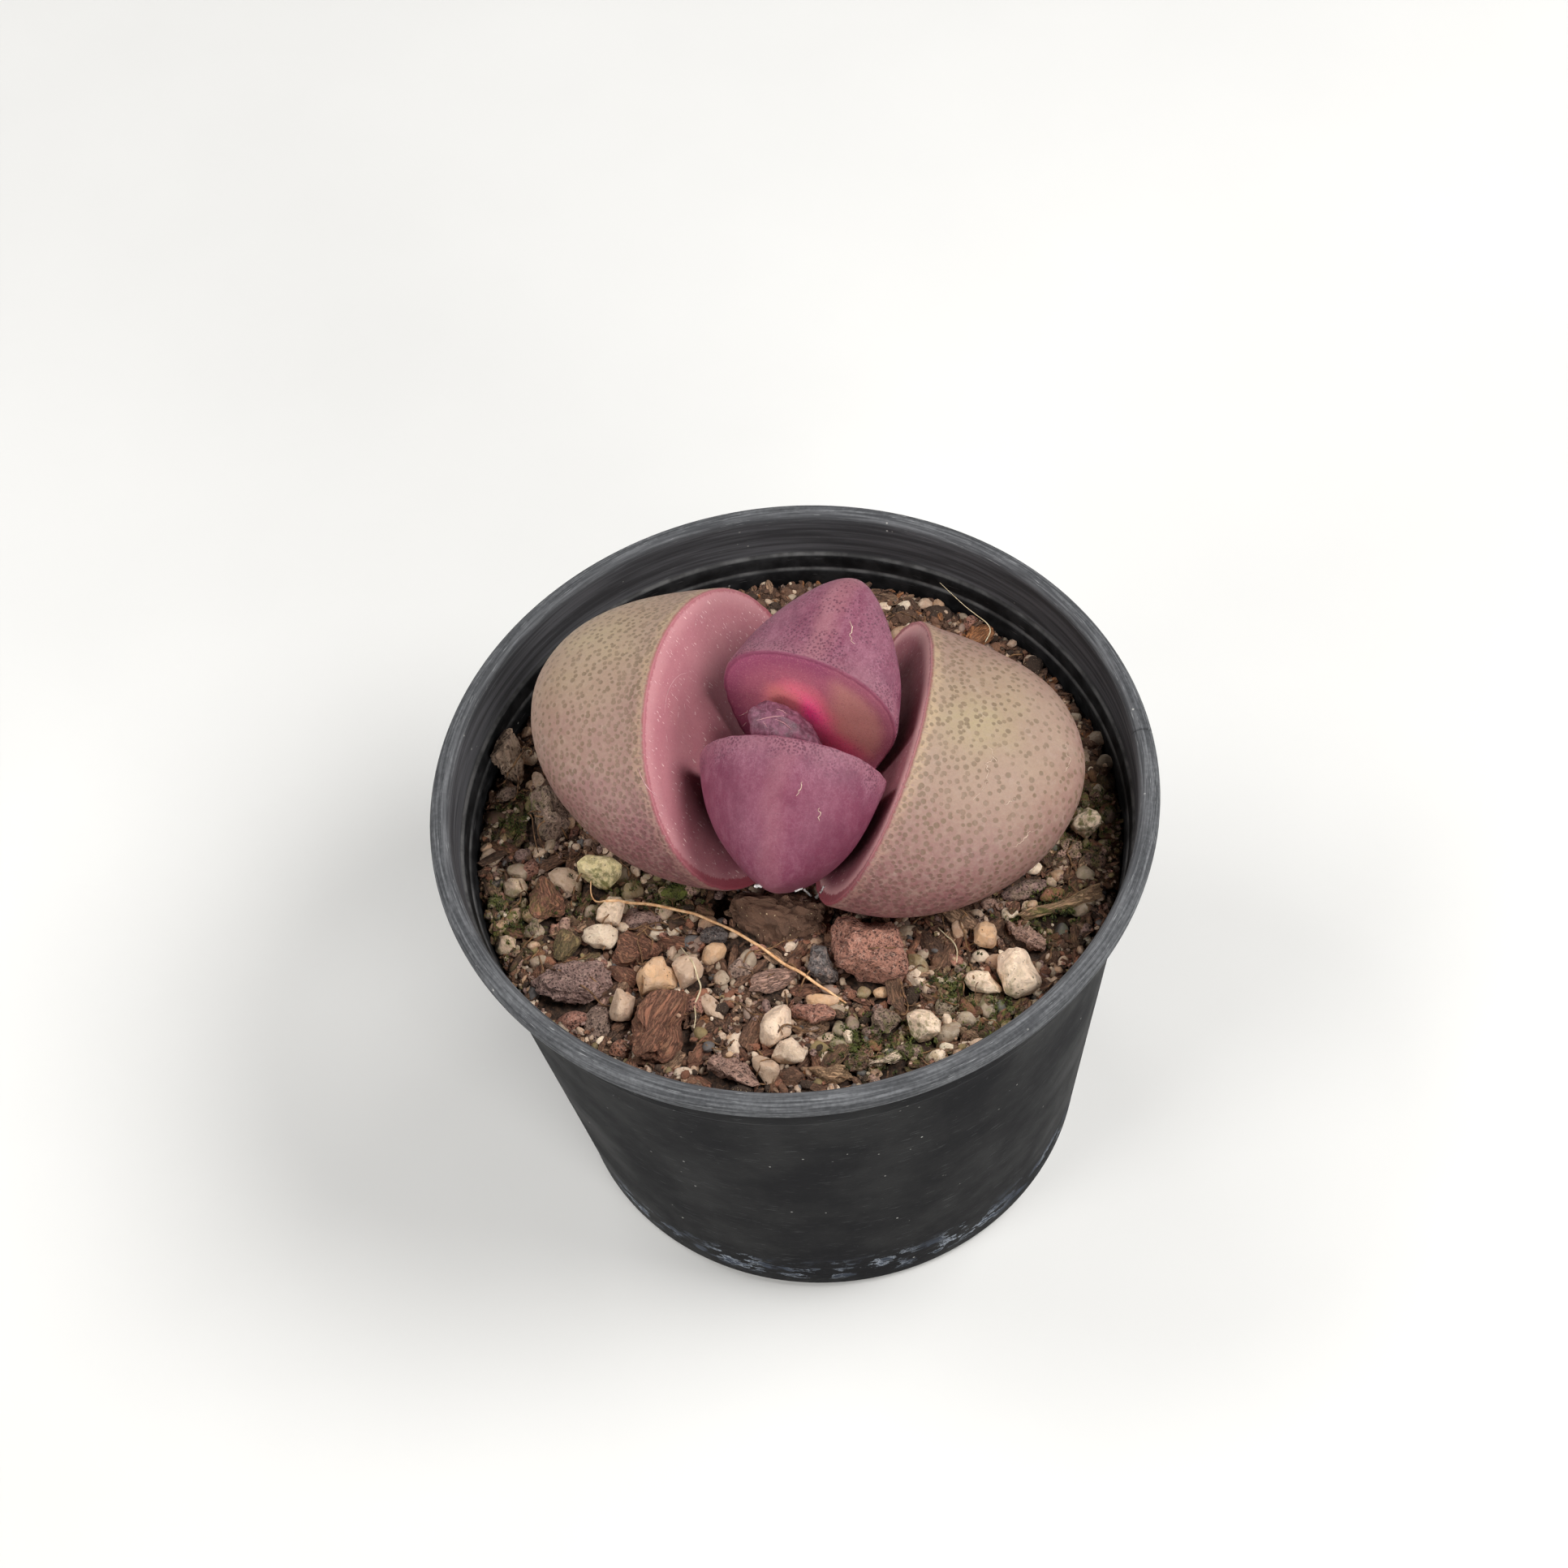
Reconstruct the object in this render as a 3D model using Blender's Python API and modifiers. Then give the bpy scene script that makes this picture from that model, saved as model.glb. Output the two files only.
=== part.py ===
"""A potted split rock: a stone-like succulent with an old and a new pair of leaves, in a black nursery pot.

The origin is on the pot's axis, at the plane it stands on. +Z is up, and -Y is the front. The faces of the
old leaves look along X, and those of the new leaves along Y.
"""

import math
import random

import bmesh
import bpy
from mathutils import Matrix, Vector, noise
from mathutils.bvhtree import BVHTree

MM = 0.001
GAP = 0.3 * MM

# Pot
POT_SIDES = 48
RIM_RADIUS = 50 * MM
POT_HEIGHT = 76 * MM
LIP_HEIGHT = 3.1 * MM
COLLAR_BOTTOM = 65.3 * MM
COLLAR_RADIUS = 47.8 * MM
BODY_TOP_RADIUS = 46.3 * MM
BODY_BASE_RADIUS = 37.8 * MM
WALL = 0.9 * MM
FLOOR_UNDER = 1.6 * MM
FLOOR_TOP = 3.0 * MM
FOOT_OUTER = 36.8 * MM
FOOT_INNER = 34.6 * MM
DRAIN_HOLES = 6
DRAIN_RADIUS = 3.4 * MM
DRAIN_RING = 24 * MM

# Potting mix
SOIL_LEVEL = 63.6 * MM
SOIL_ROUGHNESS = 1.1 * MM
SOIL_CELL = 3.6 * MM
GRAINS = 86
GRAIN_SIZES = (1.1 * MM, 2.1 * MM)
GRAIN_SEED = 12

# Root crown and bud
CROWN_PLACE = (1.4 * MM, 2.8 * MM)
CROWN_TOP = 63.0 * MM
CROWN_RADIUS = 6.0 * MM
ROOT_TIP = 22 * MM
BUD_BASE = (1.2 * MM, 0.5 * MM, 66.0 * MM)
BUD_TIP = (-3.2 * MM, 2.4 * MM, 91.0 * MM)
BUD_HALF_WIDTH = 5.2 * MM

# How softly a leaf rounds off where its neighbour presses on it
PRESS_SOFTNESS = 1.5 * MM

# Each leaf is half an egg. Its flat face starts at the base point, looks towards the heading and leans back.
# Depth runs from the face to the apex, which lies at apex_rise of the face's length.
LEAVES = {
    "old_leaf_left": dict(
        heading=-3, lean=30.2, base=(0.0, 4.7, 62.6), length=36.8, half_width=22.3, depth=23.4,
        apex_rise=0.84, base_taper=0.0, fullness=2.5, roundness=1.71, color=(0.42, 0.31, 0.24),
    ),
    "old_leaf_right": dict(
        heading=180, lean=30.1, base=(2.1, 5.5, 62.7), length=32.1, half_width=21.8, depth=26.2,
        apex_rise=0.84, base_taper=-0.05, fullness=2.58, roundness=1.9, color=(0.44, 0.35, 0.24),
    ),
    "new_leaf_back": dict(
        heading=-102.7, lean=8.0, base=(1.65, 1.3, 62.9), length=35.2, half_width=18.4, depth=17.1,
        apex_rise=0.95, base_taper=0.76, fullness=1.66, roundness=1.37, color=(0.28, 0.10, 0.15),
    ),
    "new_leaf_front": dict(
        heading=88, lean=9.0, base=(2.1, -0.4, 62.6), length=34.4, half_width=16.8, depth=17.1,
        apex_rise=0.66, base_taper=0.47, fullness=1.6, roundness=1.48, color=(0.26, 0.09, 0.14),
    ),
}
LEAF_SIDES = 28
FACE_RINGS = 2
BODY_RINGS = 10
FACE_DISH = 0.6 * MM

# Name, kind, place across and towards the back, length, width and height in mm, and turn in degrees
STONES = (
    ("lava_red", "lava", 13.9, -19.8, 11.0, 9.8, 8.6, 10),
    ("lava_purple", "lava", -26.0, -29.2, 11.2, 8.0, 6.4, 14),
    ("lava_grey_left", "lava", -35.6, -4.4, 5.6, 7.0, 6.0, 20),
    ("lava_rough_left", "lava", -41.0, 5.6, 5.0, 7.0, 6.0, -12),
    ("lava_right", "lava", 35.0, -13.6, 5.2, 4.6, 4.4, -30),
    ("lava_front", "lava", 17.2, -28.6, 4.6, 4.2, 3.8, 35),
    ("lava_rim_right", "lava", 19.2, -34.8, 5.0, 4.2, 3.6, 15),
    ("lava_rim_front", "lava", -3.2, -39.6, 7.0, 4.2, 4.0, -12),
    ("stone_red", "lava", 9.4, -29.6, 5.4, 4.2, 3.8, -10),
    ("stone_blue", "pebble", 5.8, -23.2, 3.9, 5.4, 4.4, -14),
    ("stone_grey", "pebble", -9.6, -25.4, 4.4, 5.0, 4.6, 25),
    ("pumice_large", "pumice", -26.4, -12.6, 6.2, 5.2, 5.4, 5),
    ("pumice_left_1", "pumice", -23.2, -17.8, 3.8, 3.9, 4.2, 0),
    ("pumice_left_2", "pumice", -24.4, -22.2, 5.0, 3.5, 3.8, 8),
    ("pumice_left_3", "pumice", -37.2, -14.6, 3.4, 3.2, 3.6, 15),
    ("pumice_left_4", "pumice", -35.8, -22.4, 3.2, 3.2, 3.4, -30),
    ("pumice_left_5", "pumice", -17.4, -32.2, 3.6, 4.8, 4.4, -20),
    ("pumice_middle", "pumice", -15.2, -26.6, 5.6, 5.2, 5.4, 15),
    ("pumice_front_1", "pumice", 3.0, -31.6, 4.2, 5.6, 4.8, -8),
    ("pumice_front_2", "pumice", 6.8, -35.4, 4.4, 3.6, 4.2, 5),
    ("pumice_front_3", "pumice", 2.2, -37.8, 3.2, 4.4, 4.0, 20),
    ("pumice_right_1", "pumice", 33.8, -19.6, 5.6, 6.6, 6.2, 24),
    ("pumice_right_2", "pumice", 28.4, -21.4, 4.6, 4.2, 4.4, -10),
    ("pumice_right_3", "pumice", 22.8, -29.4, 5.0, 4.2, 4.6, 8),
    ("pumice_right_4", "pumice", 40.2, 5.6, 3.8, 3.8, 4.2, 0),
    ("pumice_orange_1", "pumice", -6.4, -20.4, 3.4, 3.2, 3.4, 10),
    ("pumice_orange_2", "pumice", 28.8, -15.4, 3.4, 3.9, 3.8, -15),
    ("bark_large", "bark", -11.4, -34.2, 6.6, 9.6, 4.4, -16),
    ("bark_left_1", "bark", -17.6, -21.4, 6.2, 4.6, 3.2, -20),
    ("bark_left_2", "bark", -32.0, -17.4, 4.6, 5.4, 3.0, 30),
    ("bark_left_3", "bark", -31.4, -11.0, 4.4, 4.2, 3.0, 12),
    ("bark_front", "bark", 12.6, -36.8, 5.8, 3.8, 3.0, 12),
    ("bark_clump", "bark", -1.8, -15.4, 9.0, 6.2, 5.0, 8),
    ("bark_back", "bark", 19.6, 36.8, 5.0, 4.0, 3.2, 50),
    ("bark_stick", "bark", 37.2, -7.4, 11.6, 2.6, 2.6, 31),
)
STONE_COLORS = {
    "lava": (0.16, 0.07, 0.055),
    "pebble": (0.12, 0.12, 0.14),
    "pumice": (0.60, 0.47, 0.32),
    "bark": (0.17, 0.07, 0.04),
}
# Lava and pebbles break into flat facets, pumice is worn round, and bark splits into flat chips.
FACET_DEPTHS = {"lava": (0.62, 0.92), "pebble": (0.72, 0.95), "pumice": (0.84, 1.0), "bark": (0.66, 0.95)}
FACETS = 16
STONE_RISE = 0.14


def clear_scene():
    for thing in list(bpy.data.objects):
        bpy.data.objects.remove(thing)


def new_collection(name):
    collection = bpy.data.collections.new(name)
    bpy.context.scene.collection.children.link(collection)
    return collection


def new_material(name, color, roughness, metallic=0.0):
    material = bpy.data.materials.new(name)
    material.use_nodes = True
    shader = material.node_tree.nodes["Principled BSDF"]
    shader.inputs["Base Color"].default_value = (*color, 1)
    shader.inputs["Roughness"].default_value = roughness
    shader.inputs["Metallic"].default_value = metallic
    return material


def new_object(name, mesh, collection, place=None):
    thing = bpy.data.objects.new(name, mesh)
    if place is not None:
        thing.matrix_world = place
    collection.objects.link(thing)
    return thing


def finish_shape(thing, material, sharp_degrees=40):
    thing.data.materials.clear()
    thing.data.materials.append(material)
    thing.data.shade_smooth()
    thing.data.set_sharp_from_angle(angle=math.radians(sharp_degrees))


def hide_cutter(thing):
    thing.hide_render = True
    thing.display_type = "WIRE"


def turned(name, profile, collection, place=None, sides=POT_SIDES):
    """A solid turned about Z from a profile of (radius, height) points that runs down its outer side."""
    mesh = bpy.data.meshes.new(name)
    points = [(radius, 0, height) for radius, height in profile]
    edges = [(i, i + 1) for i in range(len(points) - 1)]
    mesh.from_pydata(points, edges, [])
    thing = new_object(name, mesh, collection, place)
    screw = thing.modifiers.new("Turn", "SCREW")
    screw.axis = "Z"
    screw.angle = math.tau
    screw.steps = sides
    screw.render_steps = sides
    screw.use_merge_vertices = True
    screw.merge_threshold = 0.00001
    return thing


def boolean(thing, operation, other):
    """Adds a Boolean of another object, or of every object in a collection."""
    modifier = thing.modifiers.new(operation.title(), "BOOLEAN")
    modifier.operation = operation
    modifier.solver = "EXACT"
    if isinstance(other, bpy.types.Collection):
        modifier.operand_type = "COLLECTION"
        modifier.collection = other
    else:
        modifier.object = other


def apply_modifiers(thing):
    bpy.context.view_layer.update()
    graph = bpy.context.evaluated_depsgraph_get()
    mesh = bpy.data.meshes.new_from_object(thing.evaluated_get(graph))
    thing.modifiers.clear()
    thing.data = mesh


def grown_copy(source, collection):
    """A copy swollen by the gap that neighbours keep, to cut room for the source out of another solid."""
    shape = bmesh.new()
    shape.from_mesh(source.data)
    shape.normal_update()
    for vertex, normal in [(v, v.normal.copy()) for v in shape.verts]:
        vertex.co += normal * GAP
    mesh = bpy.data.meshes.new(source.name + "_room")
    shape.to_mesh(mesh)
    shape.free()
    room = new_object(mesh.name, mesh, collection, source.matrix_world)
    hide_cutter(room)
    return room


def body_radius(height):
    """The pot's outer radius below the collar."""
    share = height / COLLAR_BOTTOM
    return BODY_BASE_RADIUS + (BODY_TOP_RADIUS - BODY_BASE_RADIUS) * share


def pot_profile():
    inner_floor = body_radius(FLOOR_TOP) - WALL
    inner_top = BODY_TOP_RADIUS - WALL
    lip_bottom = POT_HEIGHT - LIP_HEIGHT
    inside = [
        (0, FLOOR_TOP),
        (inner_floor - 1 * MM, FLOOR_TOP),
        (inner_floor, FLOOR_TOP + 1 * MM),
        (inner_top, COLLAR_BOTTOM),
        (inner_top + 0.5 * MM, COLLAR_BOTTOM + 0.3 * MM),
        (inner_top + 0.7 * MM, COLLAR_BOTTOM + 2.6 * MM),
        (COLLAR_RADIUS - WALL - 0.1 * MM, COLLAR_BOTTOM + 2.9 * MM),
        (RIM_RADIUS - 2.8 * MM, POT_HEIGHT - 0.9 * MM),
        (RIM_RADIUS - 2.4 * MM, POT_HEIGHT - 0.3 * MM),
        (RIM_RADIUS - 1.6 * MM, POT_HEIGHT),
    ]
    outside = [
        (RIM_RADIUS - 0.6 * MM, POT_HEIGHT - 0.3 * MM),
        (RIM_RADIUS, POT_HEIGHT - 1.1 * MM),
        (RIM_RADIUS, lip_bottom + 0.6 * MM),
        (RIM_RADIUS - 0.4 * MM, lip_bottom),
        (COLLAR_RADIUS + 0.2 * MM, lip_bottom - 0.2 * MM),
        (COLLAR_RADIUS - 0.3 * MM, COLLAR_BOTTOM + 1.3 * MM),
        (BODY_TOP_RADIUS, COLLAR_BOTTOM),
        (body_radius(1 * MM), 1 * MM),
        (FOOT_OUTER, 0),
        (FOOT_INNER, 0),
        (FOOT_INNER - 0.4 * MM, FLOOR_UNDER),
        (0, FLOOR_UNDER),
    ]
    return inside + outside


def add_pot(parts, cutters):
    pot = turned("pot", pot_profile(), parts)
    drains = bpy.data.collections.new("drains")
    cutters.children.link(drains)
    for i in range(DRAIN_HOLES):
        angle = math.tau * (i + 0.5) / DRAIN_HOLES
        bpy.ops.mesh.primitive_cylinder_add(
            vertices=12,
            radius=DRAIN_RADIUS,
            depth=4 * FLOOR_TOP,
            location=(DRAIN_RING * math.cos(angle), DRAIN_RING * math.sin(angle), 0),
        )
        drain = bpy.context.object
        drain.name = f"drain_{i + 1}"
        bpy.context.collection.objects.unlink(drain)
        drains.objects.link(drain)
        hide_cutter(drain)
    boolean(pot, "DIFFERENCE", drains)
    apply_modifiers(pot)
    finish_shape(pot, new_material("pot_plastic", (0.028, 0.029, 0.033), 0.42), 25)


def leaf_frame(leaf):
    """The leaf's place: X across the face, Y along it from base to tip, Z out of it."""
    heading = math.radians(leaf["heading"])
    lean = math.radians(leaf["lean"])
    out = Vector((math.cos(lean) * math.cos(heading), math.cos(lean) * math.sin(heading), math.sin(lean)))
    along = Vector((-math.sin(lean) * math.cos(heading), -math.sin(lean) * math.sin(heading), math.cos(lean)))
    across = along.cross(out)
    frame = Matrix((across, along, out)).transposed().to_4x4()
    frame.translation = Vector(leaf["base"]) * MM
    return frame


def face_plane(name):
    frame = leaf_frame(LEAVES[name])
    return frame.translation, frame.to_3x3().col[2]


def pressed(point, planes):
    """The point moved to the open side of each plane, with a soft approach where it comes near."""
    for origin, normal in planes:
        clear = (point - origin).dot(normal) - GAP
        kept = (clear + math.hypot(clear, PRESS_SOFTNESS)) / 2
        point = point + normal * (kept - clear)
    return point


def leaf_point(leaf, turn, ring):
    """A point in the leaf's own frame. Rings run from the face's middle over the margin to the apex."""
    length = leaf["length"] * MM
    rise = (1 - math.cos(turn)) / 2
    side = leaf["half_width"] * MM * math.sin(turn) * (1 - leaf["base_taper"] * (1 - rise))
    middle = length / 2
    if ring <= FACE_RINGS:
        share = ring / FACE_RINGS
        dish = FACE_DISH * (1 - share**2)
        return Vector((side * share, middle + (length * rise - middle) * share, -dish))
    depth = math.sin((ring - FACE_RINGS) / BODY_RINGS * math.pi / 2)
    size = max(1 - depth ** leaf["fullness"], 0) ** (1 / leaf["roundness"])
    centre = middle + (leaf["apex_rise"] * length - middle) * depth**1.5
    along = centre + (length * rise - middle) * size
    return Vector((side * size, along, -depth * leaf["depth"] * MM))


def ball(name, sides, rings, point_of, collection, place):
    """A UV sphere whose points are moved to point_of(turn, ring), ring 0 being its first pole."""
    shape = bmesh.new()
    bmesh.ops.create_uvsphere(shape, u_segments=sides, v_segments=rings, radius=1)
    for vertex in shape.verts:
        ring = round(math.acos(max(-1, min(1, vertex.co.z))) / math.pi * rings)
        vertex.co = point_of(math.atan2(vertex.co.y, vertex.co.x), ring)
    mesh = bpy.data.meshes.new(name)
    shape.to_mesh(mesh)
    shape.free()
    return new_object(name, mesh, collection, place)


def add_leaf(name, parts, planes):
    leaf = LEAVES[name]
    frame = leaf_frame(leaf)
    back = frame.inverted()

    def point_of(turn, ring):
        return back @ pressed(frame @ leaf_point(leaf, turn, ring), planes)

    thing = ball(name, LEAF_SIDES, FACE_RINGS + BODY_RINGS, point_of, parts, frame)
    finish_shape(thing, new_material(name + "_skin", leaf["color"], 0.5), 50)
    return thing


def add_bud(parts, planes):
    """A blunt folded cap on a short stalk, leaning to the left between the new leaves."""
    base = Vector(BUD_BASE)
    tip = Vector(BUD_TIP)
    rings = 9
    folds = 5

    def point_of(turn, ring):
        down = ring / rings
        width = 2.3 * down**0.5 * (1 - down) ** 0.4 * (1 - 0.45 * down)
        fold = 1 + 0.07 * math.cos(folds * turn)
        side = BUD_HALF_WIDTH * width * fold
        centre = tip.lerp(base, down)
        return pressed(centre + Vector((side * math.cos(turn), side * math.sin(turn), 0)), planes)

    bud = ball("bud", 15, rings, point_of, parts, Matrix.Identity(4))
    finish_shape(bud, new_material("bud_skin", (0.20, 0.12, 0.14), 0.6))
    return bud


def crown_profile(grow):
    """The neck under the leaves and its taproot. Grown, it is the plain hole that it stands in."""
    top = CROWN_TOP + 8 * grow
    depth = CROWN_TOP - ROOT_TIP
    return [
        (0, top),
        (CROWN_RADIUS + grow, top),
        (CROWN_RADIUS + grow, CROWN_TOP - 0.12 * depth),
        (0.62 * CROWN_RADIUS + grow, CROWN_TOP - 0.3 * depth),
        (0.36 * CROWN_RADIUS + grow, CROWN_TOP - 0.65 * depth),
        (0.14 * CROWN_RADIUS + grow, ROOT_TIP - grow),
        (0, ROOT_TIP - grow),
    ]


def add_crown(parts, leaf_rooms, dents):
    place = Matrix.Translation((*CROWN_PLACE, 0))
    crown = turned("root_crown", crown_profile(0), parts, place, 20)
    apply_modifiers(crown)
    hole = turned("root_hole", crown_profile(GAP), dents, place, 20)
    apply_modifiers(hole)
    hide_cutter(hole)
    boolean(crown, "DIFFERENCE", leaf_rooms)
    apply_modifiers(crown)
    finish_shape(crown, new_material("crown_bark", (0.20, 0.13, 0.08), 0.8))


def rock_reach(direction, facets):
    """How far a lump broken along these facets reaches in a direction."""
    reach = 1.0
    for normal, depth in facets:
        facing = direction.dot(normal)
        if facing > 0.05:
            reach = min(reach, depth / facing)
    return reach


def rock_mesh(name, size, depths, rng, detail):
    """A ball with flat facets broken off it at random, stretched to its size."""
    facets = []
    for _ in range(FACETS):
        normal = Vector((rng.gauss(0, 1), rng.gauss(0, 1), rng.gauss(0, 1))).normalized()
        facets.append((normal, rng.uniform(*depths)))
    shape = bmesh.new()
    bmesh.ops.create_icosphere(shape, subdivisions=detail, radius=1)
    for vertex in shape.verts:
        vertex.co *= rock_reach(vertex.co.normalized(), facets)
    for axis, half in enumerate(size):
        low = min(vertex.co[axis] for vertex in shape.verts)
        high = max(vertex.co[axis] for vertex in shape.verts)
        for vertex in shape.verts:
            vertex.co[axis] = half * (2 * (vertex.co[axis] - low) / (high - low) - 1)
    mesh = bpy.data.meshes.new(name)
    shape.to_mesh(mesh)
    shape.free()
    return mesh


def add_stones(parts):
    stones = []
    for number, (name, kind, x, y, length, width, height, turn) in enumerate(STONES):
        rng = random.Random(number)
        size = (length / 2 * MM, width / 2 * MM, height / 2 * MM)
        mesh = rock_mesh(name, size, FACET_DEPTHS[kind], rng, 2)
        place = Matrix.Translation((x * MM, y * MM, SOIL_LEVEL + STONE_RISE * height * MM))
        place = place @ Matrix.Rotation(math.radians(turn), 4, "Z")
        stone = new_object(name, mesh, parts, place)
        shade = rng.uniform(0.8, 1.15)
        color = [part * shade for part in STONE_COLORS[kind]]
        finish_shape(stone, new_material(name + "_stone", color, 0.85), 20)
        stones.append(stone)
    return stones


def soil_height(x, y):
    """The mix lies level but lumpy, a little lower at the wall."""
    lumps = noise.noise(Vector((x, y, 0)) / (9 * MM)) + 0.5 * noise.noise(Vector((x, y, 3)) / (4 * MM))
    edge = (math.hypot(x, y) / BODY_TOP_RADIUS) ** 6
    return SOIL_LEVEL + SOIL_ROUGHNESS * (lumps - 0.8 * edge)


def soil_profile():
    bottom = FLOOR_TOP + GAP
    inset = WALL + GAP
    return [
        (0, POT_HEIGHT),
        (body_radius(SOIL_LEVEL) - inset, POT_HEIGHT),
        (body_radius(SOIL_LEVEL) - inset, SOIL_LEVEL),
        (body_radius(FLOOR_TOP + 1 * MM) - inset, bottom + 1 * MM),
        (body_radius(FLOOR_TOP) - inset - 1.2 * MM, bottom),
        (0, bottom),
    ]


def add_relief_cutter(cutters):
    """Everything above the mix: a grid that follows its surface, closed upwards into a block."""
    half = RIM_RADIUS
    cells = round(2 * half / SOIL_CELL)
    shape = bmesh.new()
    bmesh.ops.create_grid(shape, x_segments=cells, y_segments=cells, size=half)
    for vertex in shape.verts:
        vertex.co.z = soil_height(vertex.co.x, vertex.co.y)
    raised = bmesh.ops.extrude_face_region(shape, geom=shape.faces[:])
    for part in raised["geom"]:
        if isinstance(part, bmesh.types.BMVert):
            part.co.z = POT_HEIGHT + 5 * MM
    bmesh.ops.recalc_face_normals(shape, faces=shape.faces)
    mesh = bpy.data.meshes.new("above_soil")
    shape.to_mesh(mesh)
    shape.free()
    cutter = new_object("above_soil", mesh, cutters)
    hide_cutter(cutter)
    return cutter


def tree_of(thing):
    mesh = thing.data
    points = [thing.matrix_world @ vertex.co for vertex in mesh.vertices]
    return BVHTree.FromPolygons(points, [polygon.vertices for polygon in mesh.polygons])


def add_grains(cutters, solids):
    """Small grit half sunk in the mix, placed at random clear of the leaves, the stones and each other."""
    grit = bpy.data.collections.new("grit")
    cutters.children.link(grit)
    rng = random.Random(GRAIN_SEED)
    trees = [tree_of(solid) for solid in solids]
    reach = body_radius(SOIL_LEVEL) - WALL - GAP
    placed = []
    while len(placed) < GRAINS:
        radius = rng.uniform(*GRAIN_SIZES)
        distance = (reach - 1.3 * radius) * math.sqrt(rng.random())
        angle = rng.uniform(0, math.tau)
        x, y = distance * math.cos(angle), distance * math.sin(angle)
        centre = Vector((x, y, soil_height(x, y) + 0.1 * radius))
        clear = 1.2 * radius + GAP
        if any((centre - other).length < radius + size for other, size in placed):
            continue
        if any(tree.find_nearest(centre, clear)[0] is not None for tree in trees):
            continue
        placed.append((centre, radius))
        size = [radius * rng.uniform(0.8, 1.2) for _ in range(3)]
        mesh = rock_mesh(f"grain_{len(placed)}", size, (0.7, 1.0), rng, 1)
        place = Matrix.Translation(centre) @ Matrix.Rotation(rng.uniform(0, math.tau), 4, "Z")
        grain = new_object(mesh.name, mesh, grit, place)
        hide_cutter(grain)
    return grit


def add_soil(parts, cutters, dents, solids):
    soil = turned("soil", soil_profile(), parts)
    grit = add_grains(cutters, solids)
    boolean(soil, "DIFFERENCE", add_relief_cutter(cutters))
    boolean(soil, "UNION", grit)
    boolean(soil, "DIFFERENCE", dents)
    apply_modifiers(soil)
    for grain in list(grit.objects):
        bpy.data.objects.remove(grain)
    finish_shape(soil, new_material("potting_mix", (0.075, 0.045, 0.03), 0.95), 20)


def main():
    clear_scene()
    parts = new_collection("potted_split_rock")
    cutters = new_collection("cutters")
    cutters.hide_render = True
    dents = bpy.data.collections.new("dents")
    leaf_rooms = bpy.data.collections.new("leaf_rooms")
    cutters.children.link(dents)
    dents.children.link(leaf_rooms)

    add_pot(parts, cutters)
    old_faces = [face_plane("old_leaf_left"), face_plane("old_leaf_right")]
    new_faces = [face_plane("new_leaf_back"), face_plane("new_leaf_front")]
    leaves = [
        add_leaf("old_leaf_left", parts, []),
        add_leaf("old_leaf_right", parts, []),
        add_leaf("new_leaf_back", parts, old_faces),
        add_leaf("new_leaf_front", parts, old_faces),
    ]
    add_bud(parts, old_faces + new_faces)
    stones = add_stones(parts)
    bpy.context.view_layer.update()
    for leaf in leaves:
        grown_copy(leaf, leaf_rooms)
    for stone in stones:
        grown_copy(stone, dents)
    add_crown(parts, leaf_rooms, dents)
    add_soil(parts, cutters, dents, leaves + stones)


main()
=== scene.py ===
# %% [markdown]
# This lesson finishes a potted split rock, a succulent that looks like a cracked pebble. The plant is two
# pairs of thick leaves, each half an egg with a flat inner face. The measured solids come first. They fix
# every size and place, and each step below puts a finer surface on one of them.

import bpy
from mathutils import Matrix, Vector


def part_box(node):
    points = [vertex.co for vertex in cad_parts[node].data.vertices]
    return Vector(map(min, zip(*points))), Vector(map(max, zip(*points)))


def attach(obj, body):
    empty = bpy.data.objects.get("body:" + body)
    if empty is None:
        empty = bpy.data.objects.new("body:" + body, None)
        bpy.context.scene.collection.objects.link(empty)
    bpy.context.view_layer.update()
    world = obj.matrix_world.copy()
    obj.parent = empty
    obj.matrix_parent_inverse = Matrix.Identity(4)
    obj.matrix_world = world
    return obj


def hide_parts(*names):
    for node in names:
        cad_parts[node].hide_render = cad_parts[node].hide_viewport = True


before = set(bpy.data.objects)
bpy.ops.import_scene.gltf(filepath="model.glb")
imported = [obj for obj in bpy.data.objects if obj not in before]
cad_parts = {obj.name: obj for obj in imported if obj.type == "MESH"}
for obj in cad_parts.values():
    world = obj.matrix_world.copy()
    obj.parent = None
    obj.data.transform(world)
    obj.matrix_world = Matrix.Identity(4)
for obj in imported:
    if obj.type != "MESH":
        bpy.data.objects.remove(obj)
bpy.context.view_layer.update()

# %% [markdown]
# Blender works in metres, but a plant is easier to think about in millimetres, so lengths below are in
# millimetres and are scaled once, when a mesh is made.

# %% Tools that every cell uses
import math
import random

import bmesh
import bpy
import numpy as np
from mathutils import Matrix, Vector, geometry, noise
from mathutils.bvhtree import BVHTree

MM = 0.001

# %% [markdown]
# The camera looks down at the pot from the front, a little from the right, and leans to one side. It can be
# made from two angles and a roll, or from a matrix. The matrix is used here, because the same three
# directions also send a line of sight through any pixel of the photograph, which places the small things
# later.

# %% Camera
PHOTO_PX = 1932
FOCAL_PX = 4200
SENSOR = 36
POT_TOP = 76
RIM_PX = (975.6, 968.8)
DISTANCE = 464
NEAREST = 10
azimuth, elevation, roll = math.radians(17), math.radians(55.3), math.radians(-7.6)
toward = Vector((
    math.sin(azimuth) * math.cos(elevation),
    -math.cos(azimuth) * math.cos(elevation),
    math.sin(elevation),
))
level = Vector((math.cos(azimuth), math.sin(azimuth), 0))
rise = toward.cross(level)
side = level * math.cos(roll) + rise * math.sin(roll)
top = rise * math.cos(roll) - level * math.sin(roll)


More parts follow.
